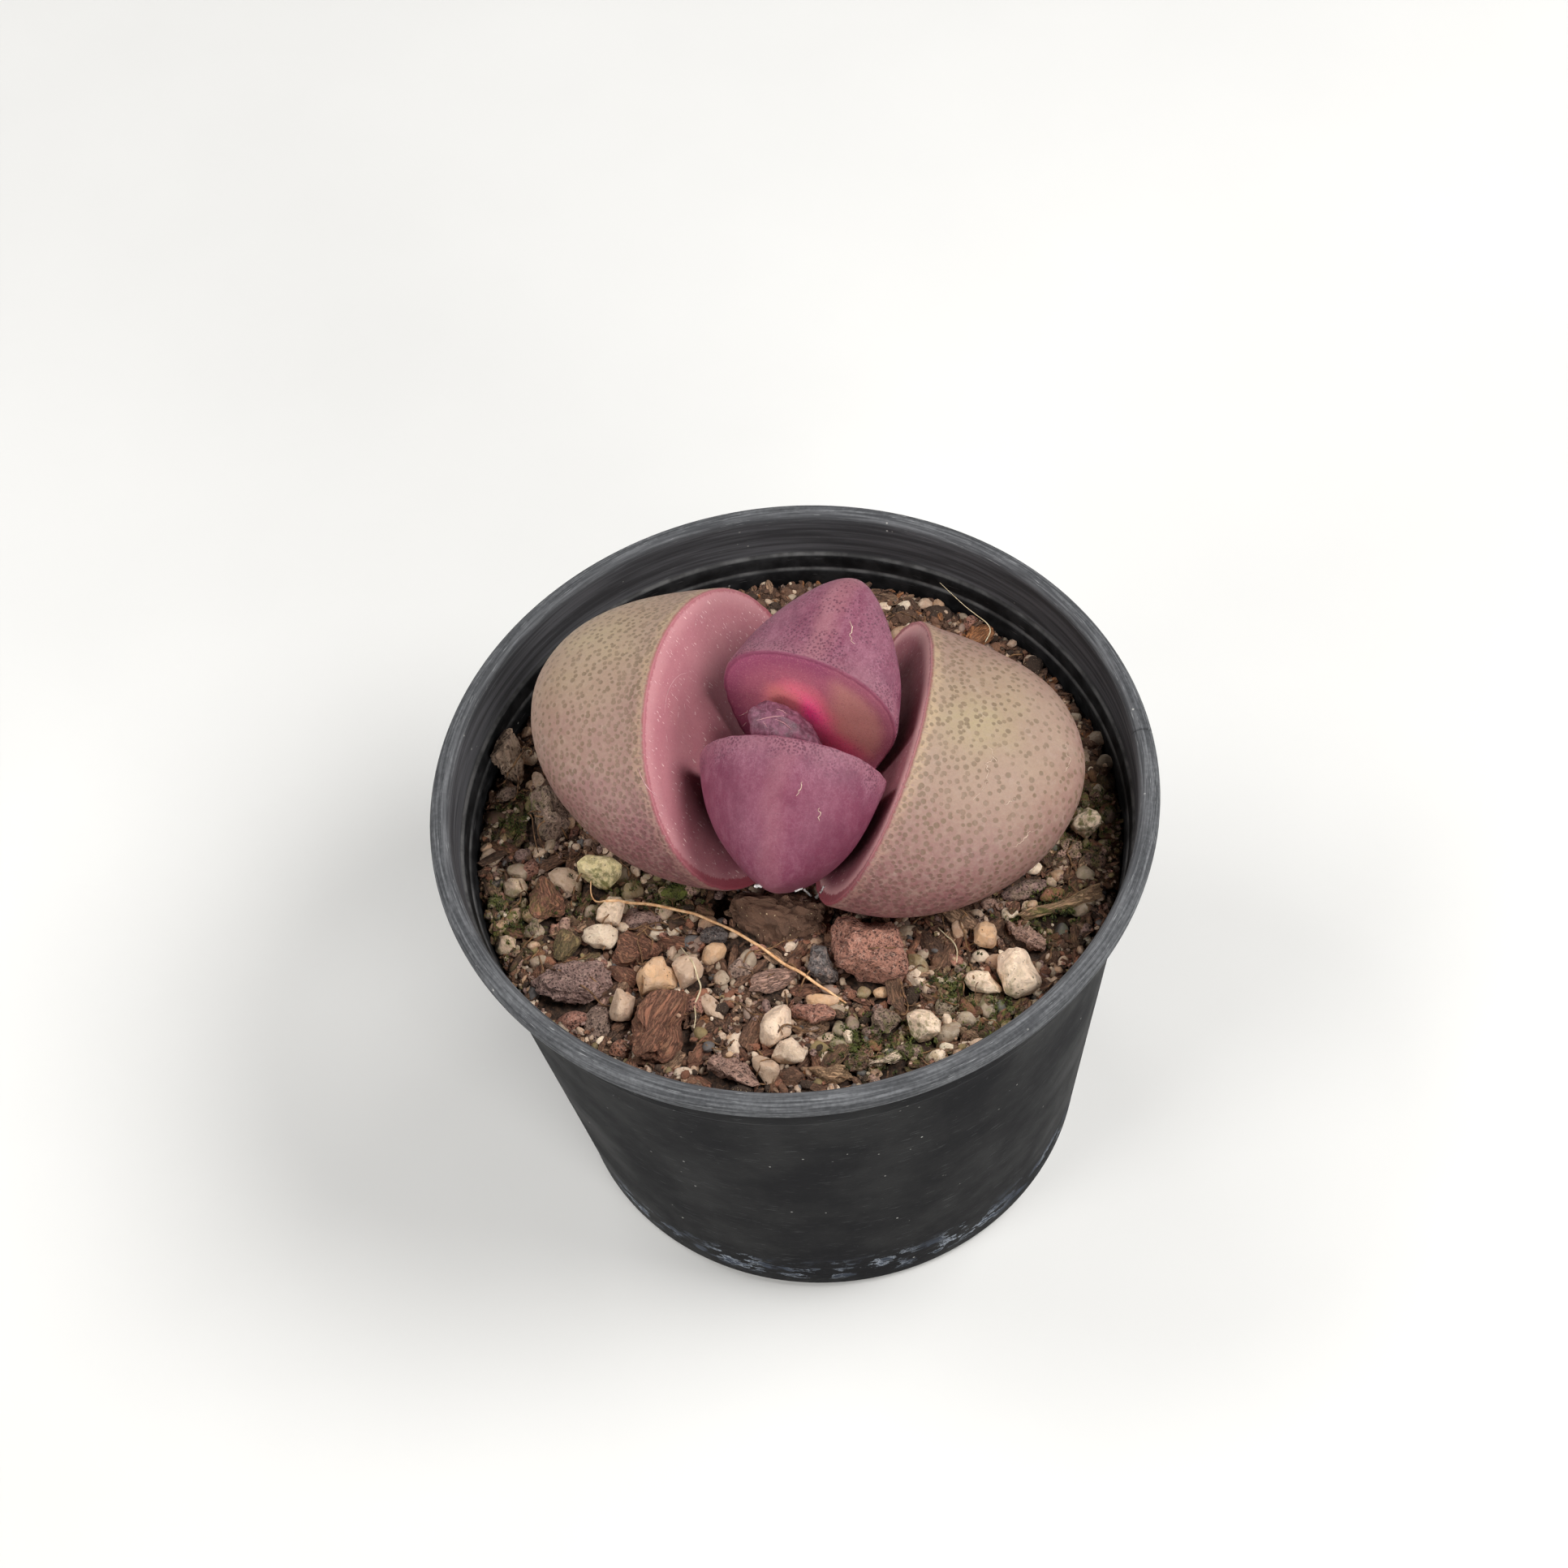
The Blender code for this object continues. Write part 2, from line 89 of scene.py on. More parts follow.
def offset_px(px, py):
    """How far a pixel lies right of and above the picture's middle, per unit of distance."""
    return (px - PHOTO_PX / 2) / FOCAL_PX, (PHOTO_PX / 2 - py) / FOCAL_PX


right_of, above = offset_px(*RIM_PX)
aim = Vector((0, 0, POT_TOP)) - (side * right_of + top * above) * DISTANCE
eye = aim + toward * DISTANCE
camera_data = bpy.data.cameras.new("camera")
camera_data.sensor_width = SENSOR
camera_data.lens = SENSOR * FOCAL_PX / PHOTO_PX
camera_data.clip_start = NEAREST * MM
camera = bpy.data.objects.new("camera", camera_data)
camera.matrix_world = Matrix.Translation(eye * MM) @ Matrix((side, top, toward)).transposed().to_4x4()
bpy.context.scene.collection.objects.link(camera)
bpy.context.scene.camera = camera
print("camera at", [round(value) for value in eye], "mm, lens", round(camera_data.lens, 1), "mm")

# %% [markdown]
# Soft light comes from large areas. Six round panels stand round the pot and face it. The strongest hangs
# above on the right, so the left side of each leaf falls into shade, and two behind draw the far edges. The
# sky is nearly black, so that the clefts between the leaves stay dark.

# %% Lights
PANEL_SIZE = 0.3
POT_MIDDLE = Vector((0, 0, 0.06))
SKY_COLOR = (0.9, 0.93, 1, 1)
SKY_STRENGTH = 0.03
# Each panel's place in metres and its power in watts
PANELS = {
    "top_right_panel": ((0.35, 0, 0.55), 3.2),
    "top_left_panel": ((-0.35, 0, 0.55), 1.6),
    "front_right_panel": ((0.4, -0.45, 0.3), 2.1),
    "front_left_panel": ((-0.4, -0.45, 0.3), 2.1),
    "back_right_panel": ((0.4, 0.45, 0.3), 1.5),
    "back_left_panel": ((-0.4, 0.45, 0.3), 0.9),
}
for name, (place, power) in PANELS.items():
    light = bpy.data.lights.new(name, "AREA")
    light.shape = "DISK"
    light.size = PANEL_SIZE
    light.energy = power
    panel = bpy.data.objects.new(name, light)
    panel.location = place
    panel.rotation_euler = (POT_MIDDLE - Vector(place)).to_track_quat("-Z", "Y").to_euler()
    bpy.context.scene.collection.objects.link(panel)
sky = bpy.data.worlds.new("sky")
sky.use_nodes = True
background = sky.node_tree.nodes["Background"]
background.inputs["Color"].default_value = SKY_COLOR
background.inputs["Strength"].default_value = SKY_STRENGTH
bpy.context.scene.world = sky
bpy.context.scene.view_settings.view_transform = "Standard"

# %% [markdown]
# A finish is easier to read as arithmetic than as a picture of boxes and wires. A Wire is one output of a
# shader node. Adding or multiplying wires adds the Math nodes, and any other node comes from Finish.node.


# %% Shader arithmetic
class Wire:
    """One output of a shader node, which can be added, multiplied and so on."""

    def __init__(self, finish, socket):
        self.finish = finish
        self.socket = socket

    def calc(self, operation, *values):
        kind = "Math" if self.socket.type == "VALUE" else "VectorMath"
        return self.finish.node(kind, {"operation": operation}, dict(enumerate(values)))

    def __add__(self, other):
        return self.calc("ADD", self, other)

    def __sub__(self, other):
        return self.calc("SUBTRACT", self, other)

    def __rsub__(self, other):
        return self.calc("SUBTRACT", other, self)

    def __mul__(self, other):
        return self.calc("MULTIPLY", self, other)

    def __abs__(self):
        return self.calc("ABSOLUTE", self)

    def ease(self, low, high):
        """0 below low, 1 above high and a smooth step between. High may be the smaller one."""
        sockets = {"Value": self, "From Min": low, "From Max": high}
        return self.finish.node("MapRange", {"interpolation_type": "SMOOTHSTEP"}, sockets)

    def scaled(self, by):
        return self.finish.node("VectorMath", {"operation": "SCALE"}, {0: self, VECTOR_SCALE: by})

    def length(self):
        return self.finish.node("VectorMath", {"operation": "LENGTH"}, {0: self}, out=VECTOR_VALUE)

    def parts(self):
        return [self.finish.node("SeparateXYZ", None, {0: self}, out=axis) for axis in "XYZ"]

    def painted(self, share, red, green, blue):
        """This colour, covered by another as far as share says."""
        return self.finish.mix(share, self, rgb(red, green, blue))

    __radd__ = __add__
    __rmul__ = __mul__


# The numbers of sockets that several modes of a node share one name for
MIX_A, MIX_B, MIX_RESULT = 6, 7, 2
VECTOR_SCALE, VECTOR_VALUE = 3, 1


class Finish:
    """A material being made, with its coordinates in millimetres."""

    def __init__(self, name):
        self.material = bpy.data.materials.new(name)
        self.material.use_nodes = True
        self.shader = self.material.node_tree.nodes["Principled BSDF"]
        self.place = self.node("TexCoord", out="Object").scaled(1 / MM)

    def node(self, kind, settings=None, sockets=None, out=0):
        made = self.material.node_tree.nodes.new("ShaderNode" + kind)
        for name, value in (settings or {}).items():
            if name == "stops":
                while len(made.color_ramp.elements) < len(value):
                    made.color_ramp.elements.new(1)
                for element, (position, color) in zip(made.color_ramp.elements, value):
                    element.position = position
                    element.color = color
            else:
                setattr(made, name, value)
        for name, value in (sockets or {}).items():
            self.plug(made.inputs[name], value)
        return Wire(self, made.outputs[out])

    def plug(self, socket, value):
        if isinstance(value, Wire):
            self.material.node_tree.links.new(value.socket, socket)
        else:
            socket.default_value = value

    def set(self, **values):
        """Sets the shader's sockets, whose names are written with underscores."""
        for name, value in values.items():
            self.plug(self.shader.inputs[name.replace("_", " ")], value)

    def joined(self, x, y, z):
        return self.node("CombineXYZ", None, {"X": x, "Y": y, "Z": z})

    def stored(self, name, out="Vector"):
        """A value that the mesh keeps for each of its points."""
        return self.node("Attribute", {"attribute_name": name}, out=out)

    def grain(self, size, at=None, detail=3.0, roughness=0.55):
        """Soft random patches about this many millimetres across, from 0 to 1."""
        vector = self.place if at is None else at
        sockets = {"Vector": vector, "Scale": 1 / size, "Detail": detail, "Roughness": roughness}
        return self.node("TexNoise", None, sockets)

    def cells(self, size, at=None, spread=1.0, out="Distance", flat=False):
        """Cells about this many millimetres across: the distance to a cell's middle, its place or colour."""
        vector = self.place if at is None else at
        settings = {"voronoi_dimensions": "2D" if flat else "3D"}
        sockets = {"Vector": vector, "Scale": 1 / size, "Randomness": spread}
        return self.node("TexVoronoi", settings, sockets, out=out)

    def mix(self, share, first, second):
        """The first colour where share is 0, turning into the second where it is 1."""
        sockets = {0: share, MIX_A: first, MIX_B: second}
        return self.node("Mix", {"data_type": "RGBA", "clamp_factor": True}, sockets, out=MIX_RESULT)

    def ramp(self, value, reach, *stops):
        """Colours along a value that runs from 0 to reach."""
        settings = {"stops": [(position / reach, color) for position, color in stops]}
        return self.node("ValToRGB", settings, {0: value * (1 / reach)})

    def bump(self, height, depth):
        """Low relief, where height runs from 0 to 1 and depth is in millimetres."""
        return self.node("Bump", None, {"Height": height, "Distance": depth * MM, "Strength": 1.0})


def rgb(red, green, blue):
    """The shader's linear colour for a screen colour from 0 to 255, by the sRGB rule."""
    linear = [((part / 255 + 0.055) / 1.055) ** 2.4 for part in (red, green, blue)]
    return (*linear, 1)


# %% [markdown]
# The floor is a plain pale sheet. Even a plain sheet looks dead in one flat colour, so very faint patches are
# mixed into it.

# %% Floor
FLOOR_SIZE = 6
FLOOR_DROP = 0.2
bpy.ops.mesh.primitive_plane_add(size=FLOOR_SIZE, location=(0, 0, -FLOOR_DROP * MM))
floor = bpy.context.object
floor.name = "floor"
paper = Finish("floor_paper")
paper.set(
    Base_Color=paper.mix(paper.grain(60), rgb(214, 213, 210), rgb(222, 221, 218)),
    Roughness=0.85,
)
floor.data.materials.append(paper.material)

# %% [markdown]
# Most pieces here are rows of points joined by quads: the pot's rows run round it, a leaf's rows run from the
# middle of its face over the margin to its tip. One helper joins the rows, and a row of one point closes an
# end.


# %% Mesh helpers
def mesh_of(name, points, faces):
    """A mesh from points in millimetres."""
    mesh = bpy.data.meshes.new(name)
    mesh.from_pydata(np.asarray(points) * MM, [], faces)
    return mesh


def loft(name, rows):
    """A mesh of quads between rows of points in millimetres. Each row is a closed ring or a single point."""
    starts = np.cumsum([0] + [len(row) for row in rows])
    faces = []
    for first, second, start, following in zip(rows, rows[1:], starts, starts[1:]):
        for i in range(max(len(first), len(second))):
            corners = (
                start + i % len(first),
                start + (i + 1) % len(first),
                following + (i + 1) % len(second),
                following + i % len(second),
            )
            faces.append(list(dict.fromkeys(corners)))
    return mesh_of(name, np.concatenate(rows), faces)


def face_outward(mesh):
    shape = bmesh.new()
    shape.from_mesh(mesh)
    bmesh.ops.recalc_face_normals(shape, faces=shape.faces)
    shape.to_mesh(mesh)
    shape.free()


def points_of(mesh):
    points = np.zeros(len(mesh.vertices) * 3)
    mesh.vertices.foreach_get("co", points)
    return points.reshape(-1, 3) / MM


def normals_of(mesh):
    normals = np.zeros(len(mesh.vertices) * 3)
    mesh.vertex_normals.foreach_get("vector", normals)
    return normals.reshape(-1, 3)


def move_points(mesh, points):
    mesh.vertices.foreach_set("co", (points * MM).ravel())
    mesh.update()


def store(mesh, name, values):
    """Keeps a number, or a vector of three, for each point of the mesh."""
    values = np.asarray(values, float)
    kind, field = ("FLOAT", "value") if values.ndim == 1 else ("FLOAT_VECTOR", "vector")
    mesh.attributes.new(name, kind, "POINT").data.foreach_set(field, values.ravel())


def waves(points, size, seed=0):
    """Smooth noise from -1 to 1 at each point, with waves about this many millimetres long."""
    shift = Vector((seed * 17.3, seed * 5.1, 0))
    return np.array([noise.noise(Vector(point) / size + shift) for point in points])


pieces = {}


def add_piece(name, mesh, finish, stands_for=()):
    """Puts a mesh in the scene as a piece of the pot plant."""
    thing = bpy.data.objects.new(name, mesh)
    bpy.context.scene.collection.objects.link(thing)
    mesh.materials.clear()
    mesh.materials.append(finish.material)
    mesh.shade_smooth()
    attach(thing, "root")
    if stands_for:
        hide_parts(*stands_for)
    pieces[name] = thing
    return thing


def merged(meshes):
    """The points, in millimetres, and the faces of several meshes together."""
    points, faces = [], []
    for mesh in meshes:
        start = len(points)
        points.extend(points_of(mesh))
        faces.extend([start + i for i in polygon.vertices] for polygon in mesh.polygons)
    return points, faces


def tree_of(*meshes):
    """The meshes' surfaces, ready to be hit by rays, in millimetres."""
    points, faces = merged(meshes)
    return BVHTree.FromPolygons([Vector(point) for point in points], faces)


# %% [markdown]
# The pot is thin black plastic pressed in a mould: a rolled lip, a short collar under it, and a plain tapered
# body. Such a shape is turned. Its outline repeats the measured one, and cutting its corners twice rounds
# them as the mould does. The lip has a small crack on the right, so the ring has extra points there.

# %% Pot outline
RIM = 50
LIP = 3.1
COLLAR_BOTTOM = 65.3
COLLAR_RADIUS = 47.8
BODY_TOP, BODY_BASE = 46.3, 37.8
WALL = 0.9
FLOOR_UNDER, FLOOR_TOP = 1.6, 3.0
FOOT_OUTER, FOOT_INNER = 36.8, 34.6
FLOOR_MIDDLE = 6
LONGEST_SIDE = 3.0


def body_radius(height):
    """How far the outer wall of the tapered body is from the pot's axis."""
    return BODY_BASE + (BODY_TOP - BODY_BASE) * height / COLLAR_BOTTOM


def pot_outline():
    inner_floor = body_radius(FLOOR_TOP) - WALL
    inner_top = BODY_TOP - WALL
    lip_bottom = POT_TOP - LIP
    return [
        (FLOOR_MIDDLE, FLOOR_TOP),
        (inner_floor - 1, FLOOR_TOP),
        (inner_floor, FLOOR_TOP + 1),
        (inner_top, COLLAR_BOTTOM),
        (inner_top + 0.5, COLLAR_BOTTOM + 0.3),
        (inner_top + 0.7, COLLAR_BOTTOM + 2.6),
        (COLLAR_RADIUS - WALL - 0.1, COLLAR_BOTTOM + 2.9),
        (RIM - 2.8, POT_TOP - 0.9),
        (RIM - 2.4, POT_TOP - 0.3),
        (RIM - 1.6, POT_TOP),
        (RIM - 0.6, POT_TOP - 0.3),
        (RIM, POT_TOP - 1.1),
        (RIM, lip_bottom + 0.6),
        (RIM - 0.4, lip_bottom),
        (COLLAR_RADIUS + 0.2, lip_bottom - 0.2),
        (COLLAR_RADIUS - 0.3, COLLAR_BOTTOM + 1.3),
        (BODY_TOP, COLLAR_BOTTOM),
        (body_radius(1), 1),
        (FOOT_OUTER, 0),
        (FOOT_INNER, 0),
        (FOOT_INNER - 0.4, FLOOR_UNDER),
        (FLOOR_MIDDLE, FLOOR_UNDER),
    ]


def corners_cut(points, most=0.5):
    """The outline with each corner cut at a quarter of its sides, or at most millimetres from it."""
    cut = [points[0]]
    for start, end in zip(points, points[1:]):
        start, end = np.array(start), np.array(end)
        share = min(0.25, most / np.linalg.norm(end - start))
        cut += [start + (end - start) * share, end - (end - start) * share]
    return cut + [points[-1]]


def subdivided(points, longest):
    """The outline with extra points, so that no side is longer than this."""
    fine = [np.array(points[0], float)]
    for end in points[1:]:
        start = fine[-1]
        steps = math.ceil(np.linalg.norm(np.array(end) - start) / longest)
        fine += [start + (np.array(end) - start) * (i + 1) / steps for i in range(steps)]
    return fine


outline = subdivided(corners_cut(corners_cut(pot_outline()), 0.2), LONGEST_SIDE)
print("pot outline:", len(outline), "points")

# %% [markdown]
# The lip's crack is a groove a fifth of a millimetre wide. The angles are even all round, with five more at
# the crack. A little unevenness, always inward so that the pot keeps its size, takes the look of a computed
# circle away.

# %% Pot mesh
POT_SIDES = 176
CRACK_PX = (1396, 899)
CRACK_DEPTH = 0.35
CRACK_HALF_WIDTH = 0.12
MOULD_WOBBLE = 0.14
# The wobble's waves: how many radii of noise go round the pot, and how long they are up the wall
WAVES_ROUND, WAVE_HEIGHT = 1.6, 30
SHARP_EDGE = math.radians(60)


def sight_through(px, py):
    """The direction of the line of sight through a pixel."""
    right, up = offset_px(px, py)
    return side * right + top * up - toward


def at_height(px, py, height):
    """The point that a pixel shows, if it lies at this height."""
    sight = sight_through(px, py)
    return eye + sight * ((height - eye.z) / sight.z)


crack_at = at_height(*CRACK_PX, POT_TOP)
crack_angle = math.atan2(crack_at.y, crack_at.x)
crack_step = CRACK_HALF_WIDTH / RIM
angles = list(np.arange(POT_SIDES) * math.tau / POT_SIDES)
angles = [angle for angle in angles if abs(angle - crack_angle) > 3 * crack_step]
angles = np.array(sorted(angles + [crack_angle + i * crack_step for i in (-2, -1, 0, 1, 2)]))
rows, along = [], [0.0]
for number, (radius, height) in enumerate(outline):
    wobble = [
        noise.noise(Vector((math.cos(a) * WAVES_ROUND, math.sin(a) * WAVES_ROUND, height / WAVE_HEIGHT)))
        for a in angles
    ]
    reach = np.full(len(angles), float(radius)) - MOULD_WOBBLE * (0.5 + 0.5 * np.array(wobble)) * (height > 2)
    if height > POT_TOP - LIP - 0.5 and radius > RIM - 3:
        near = np.clip(1 - np.abs(angles - crack_angle) / (1.5 * crack_step), 0, 1)
        reach -= CRACK_DEPTH * near * (radius > RIM - 1)
        heights = height - CRACK_DEPTH * near * (height > POT_TOP - 1.2)
    else:
        heights = np.full(len(angles), float(height))
    rows.append(np.stack([reach * np.cos(angles), reach * np.sin(angles), heights], -1))
    if number:
        along.append(along[-1] + float(np.linalg.norm(outline[number] - outline[number - 1])))
rows = [np.array([[0, 0, FLOOR_TOP]]), *rows, np.array([[0, 0, FLOOR_UNDER]])]
pot_mesh = loft("pot_plastic", rows)
lip_turn = max(range(len(outline)), key=lambda i: outline[i][1])
store(pot_mesh, "along", [0.0] + [value for value in along for _ in angles] + [along[-1]])
outside = [0.0] + [float(i >= lip_turn) for i in range(len(outline)) for _ in angles] + [1.0]
store(pot_mesh, "outside", outside)
face_outward(pot_mesh)
pot_mesh.set_sharp_from_angle(angle=SHARP_EDGE)
print("pot:", len(pot_mesh.polygons), "faces, crack at", round(math.degrees(crack_angle)), "degrees")

# %% [markdown]
# Old nursery plastic is charcoal and half glossy. Hands and tools have scuffed the lip to a lighter grey with
# fine streaks that run round it, hard water has left a bluish white tide line near the base, and dust sits in
# the scratches. All of this is noise, stretched along the way that the wear runs.


# %% Pot plastic
def pot_plastic():
    finish = Finish("worn_black_plastic")
    x, y, z = finish.place.parts()
    along = finish.stored("along", "Fac")
    outside = finish.stored("outside", "Fac")
    around = finish.joined(x * 0.12, y * 0.12, along * 3.2)
    streaks = finish.grain(1.0, around, 4, 0.6)
    smudge = finish.grain(14, detail=4)
    fine = finish.grain(0.6, detail=2)
    lip = z.ease(POT_TOP - LIP - 0.9, POT_TOP - LIP + 0.3) * outside
    lip = lip + z.ease(POT_TOP - 1.6, POT_TOP - 0.5) * (1 - outside)
    body = finish.mix(smudge.ease(0.3, 0.75), rgb(9, 9, 11), rgb(17, 17, 20))
    inner = finish.mix(finish.grain(3).ease(0.35, 0.7), rgb(24, 24, 25), rgb(44, 44, 45))
    collar = finish.grain(2.4, around, 3).ease(0.35, 0.7)
    collar = finish.mix(collar, rgb(62, 62, 64), rgb(92, 92, 95))
    inner = finish.mix(z.ease(COLLAR_BOTTOM + 2.9, COLLAR_BOTTOM + 3.2), inner, collar)
    color = finish.mix(outside, inner, body)
    worn = finish.mix(streaks.ease(0.35, 0.75), rgb(70, 71, 73), rgb(114, 115, 117))
    color = finish.mix(lip * (0.72 + 0.28 * fine.ease(0.3, 0.7)), color, worn)
    scratches = finish.grain(1.0, finish.joined(x * 0.3, y * 0.3, along * 7), 2).ease(0.66, 0.74)
    color = color.painted(scratches * (0.18 + 0.5 * lip), 165, 166, 166)
    scuff_way = finish.joined(x * 1.6 + z * 0.5, y * 1.6 - z * 0.3, z * 0.35)
    scuffs = finish.grain(2.2, scuff_way, 5, 0.7).ease(0.68, 0.78) * outside * (1 - lip)
    color = color.painted(scuffs * 0.22, 104, 106, 110)
    tide = finish.grain(3.0, finish.joined(x * 0.7, y * 0.7, z * 1.5), 5, 0.65)
    tide_band = z.ease(2.5, 5.0) * z.ease(12.0, 7.0) * outside
    tide_edge = abs(tide - 0.56).ease(0.035, 0.0) * finish.grain(9, detail=2).ease(0.4, 0.6)
    color = color.painted(tide_band * tide.ease(0.5, 0.62) * 0.35, 88, 98, 116)
    color = color.painted(tide_band * tide_edge * 0.75, 168, 176, 186)
    foot = (z + finish.grain(2.0) * 1.4).ease(2.2, 1.0) * outside
    color = color.painted(foot * 0.7, 128, 126, 124)
    ledge_noise = 0.35 + 0.65 * finish.grain(3.5, detail=4).ease(0.35, 0.65)
    for height in (COLLAR_BOTTOM + 0.35, COLLAR_BOTTOM + 2.85):
        ledge = abs(z - height).ease(0.34, 0.05) * (1 - outside) * ledge_noise
        color = color.painted(ledge * 0.55, 128, 127, 126)
    seam_noise = finish.grain(5).ease(0.42, 0.6)
    seam = abs(z - (POT_TOP - LIP - 0.05)).ease(0.3, 0.05) * outside * seam_noise
    color = color.painted(seam * 0.8, 190, 190, 190)
    specks = finish.cells(2.6).ease(0.075, 0.045)
    color = color.painted(specks * finish.grain(4).ease(0.5, 0.6) * 0.8, 186, 184, 178)
    relief = streaks * lip * 0.6 + scuffs * 0.5 + fine * 0.25
    finish.set(
        Base_Color=color,
        Roughness=0.46 + 0.2 * smudge.ease(0.3, 0.7) + 0.15 * lip,
        Normal=finish.bump(relief, 0.06),
        Specular_IOR_Level=0.06,
    )
    return finish


pot_finish = pot_plastic()
pot = add_piece("pot_moulding", pot_mesh, pot_finish, ["pot"])

# %% [markdown]
# Water leaves through six holes in the floor of the pot. They can't be seen from above, but a pot picked up
# and turned over would show them, so they are cut with one Boolean.

# %% Drain holes
DRAINS = 6
DRAIN_RADIUS = 3.4
DRAIN_RING = 24
DRAIN_SIDES = 40
drill_shape = bmesh.new()
for i in range(DRAINS):
    angle = math.tau * (i + 0.5) / DRAINS
    spot = Matrix.Translation((DRAIN_RING * math.cos(angle) * MM, DRAIN_RING * math.sin(angle) * MM, 0))
    bmesh.ops.create_cone(
        drill_shape, cap_ends=True, segments=DRAIN_SIDES, depth=4 * FLOOR_TOP * MM, matrix=spot,
        radius1=DRAIN_RADIUS * MM, radius2=DRAIN_RADIUS * MM,
    )
drill_mesh = bpy.data.meshes.new("drill")
drill_shape.to_mesh(drill_mesh)
drill_shape.free()
drill = bpy.data.objects.new("drill", drill_mesh)
bpy.context.scene.collection.objects.link(drill)
cut = pot.modifiers.new("Drain holes", "BOOLEAN")
cut.object = drill
cut.operation = "DIFFERENCE"
bpy.context.view_layer.update()
drilled = bpy.data.meshes.new_from_object(pot.evaluated_get(bpy.context.evaluated_depsgraph_get()))
pot.modifiers.clear()
pot.data = drilled
bpy.data.objects.remove(drill)
print("pot after drilling:", len(drilled.polygons), "faces")

# %% [markdown]
# Each leaf is half an egg. Its flat face looks at its partner, and behind the face the body swells and closes
# to a tip. Sculpting could make this too, but a formula with a few sizes keeps the four leaves a family and
# keeps them where the solids are.

# %% Leaf sizes
leaves = {
    "old_leaf_left": dict(
        heading=-3, lean=30.2, base=(0.0, 4.7, 62.6), length=36.8, half_width=22.3, depth=23.4,
        apex_rise=0.84, base_taper=0.0, fullness=2.5, roundness=1.71,
    ),
    "old_leaf_right": dict(
        heading=180, lean=30.1, base=(2.1, 5.5, 62.7), length=32.1, half_width=21.8, depth=26.2,
        apex_rise=0.84, base_taper=-0.05, fullness=2.58, roundness=1.9,
    ),
    "new_leaf_back": dict(
        heading=-102.7, lean=8.0, base=(1.65, 1.3, 62.9), length=35.2, half_width=18.4, depth=17.1,
        apex_rise=0.95, base_taper=0.76, fullness=1.66, roundness=1.37,
    ),
    "new_leaf_front": dict(
        heading=88, lean=9.0, base=(2.1, -0.4, 62.6), length=34.4, half_width=16.8, depth=17.1,
        apex_rise=0.66, base_taper=0.47, fullness=1.6, roundness=1.48,
    ),
}
FACE_DISH = 0.6
# Neighbours keep this much air between them
GAP = 0.3
PRESS_SOFTNESS = 1.5


def leaf_axes(leaf):
    """Three directions: across the face, along it from base to tip, and out of it."""
    heading, lean = math.radians(leaf["heading"]), math.radians(leaf["lean"])
    flat = Vector((math.cos(heading), math.sin(heading), 0))
    up = Vector((0, 0, 1))
    out = flat * math.cos(lean) + up * math.sin(lean)
    along = up * math.cos(lean) - flat * math.sin(lean)
    return along.cross(out), along, out


def pressed(points, names):
    """The points kept on the open side of these leaves' faces, with a soft approach where they come near."""
    for name in names:
        normal = np.array(leaf_axes(leaves[name])[2])
        clear = (points - np.array(leaves[name]["base"])) @ normal - GAP
        kept = (clear + np.hypot(clear, PRESS_SOFTNESS)) / 2
        points = points + np.outer(kept - clear, normal)
    return points


# %% [markdown]
# The margin, where the face meets the body, is rounded over half a millimetre. The rows of points are close
# together there and wider apart on the smooth swell of the body.

# %% Leaf rows
LEAF_SIDES = 168
FACE_ROWS = 20
EDGE_ROWS = 5
BODY_ROWS = 50
EDGE_ROUNDING = 0.55
turns = np.arange(LEAF_SIDES) * math.tau / LEAF_SIDES


def leaf_rows(leaf):
    """Rows of points in the leaf's own directions, from the middle of the face to the tip of the body."""
    length, depth = leaf["length"], leaf["depth"]
    middle = length / 2
    height = (1 - np.cos(turns)) / 2
    across = leaf["half_width"] * np.sin(turns) * (1 - leaf["base_taper"] * (1 - height))
    from_middle = np.stack([across, length * height - middle], -1)
    inward = -from_middle / np.linalg.norm(from_middle, axis=1)[:, None]

    def body_row(share, inset=0.0):
        size = max(1 - share ** leaf["fullness"], 0) ** (1 / leaf["roundness"])
        centre = middle + (leaf["apex_rise"] * length - middle) * share**1.5
        plan = from_middle * size + inward * inset + (0, centre)
        return np.column_stack([plan, np.full(len(plan), -share * depth)])

    rows = [np.array([[0, middle, -FACE_DISH]])]
    flat_edge = from_middle + inward * EDGE_ROUNDING
    for share in np.arange(1, FACE_ROWS + 1) / FACE_ROWS:
        plan = flat_edge * share + (0, middle)
        rows.append(np.column_stack([plan, np.full(len(plan), -FACE_DISH * (1 - share**2))]))
    for bend in np.radians(np.arange(1, EDGE_ROWS + 1) / EDGE_ROWS * 90):
        sunk = EDGE_ROUNDING * (1 - math.cos(bend))
        rows.append(body_row(sunk / depth, EDGE_ROUNDING * (1 - math.sin(bend))))
    first = math.asin(EDGE_ROUNDING / depth)
    for bend in np.linspace(first, math.pi / 2, BODY_ROWS + 2)[1:-1]:
        rows.append(body_row(math.sin(bend)))
    rows.append(np.array([[0, leaf["apex_rise"] * length, -depth]]))
    return rows


print("leaf rows:", len(leaf_rows(leaves["old_leaf_left"])))

# %% [markdown]
# The dots of a split rock are round everywhere on the skin. A flat dot pattern laid on a dome would stretch
# them to ovals. So each point of the mesh keeps its place on a flat map of the skin, and also how one step on
# that map, sideways or upwards, moves in space. The finish can then measure true distances on the skin.

# %% A flat map of the skin
SKIN_RADIUS = 22


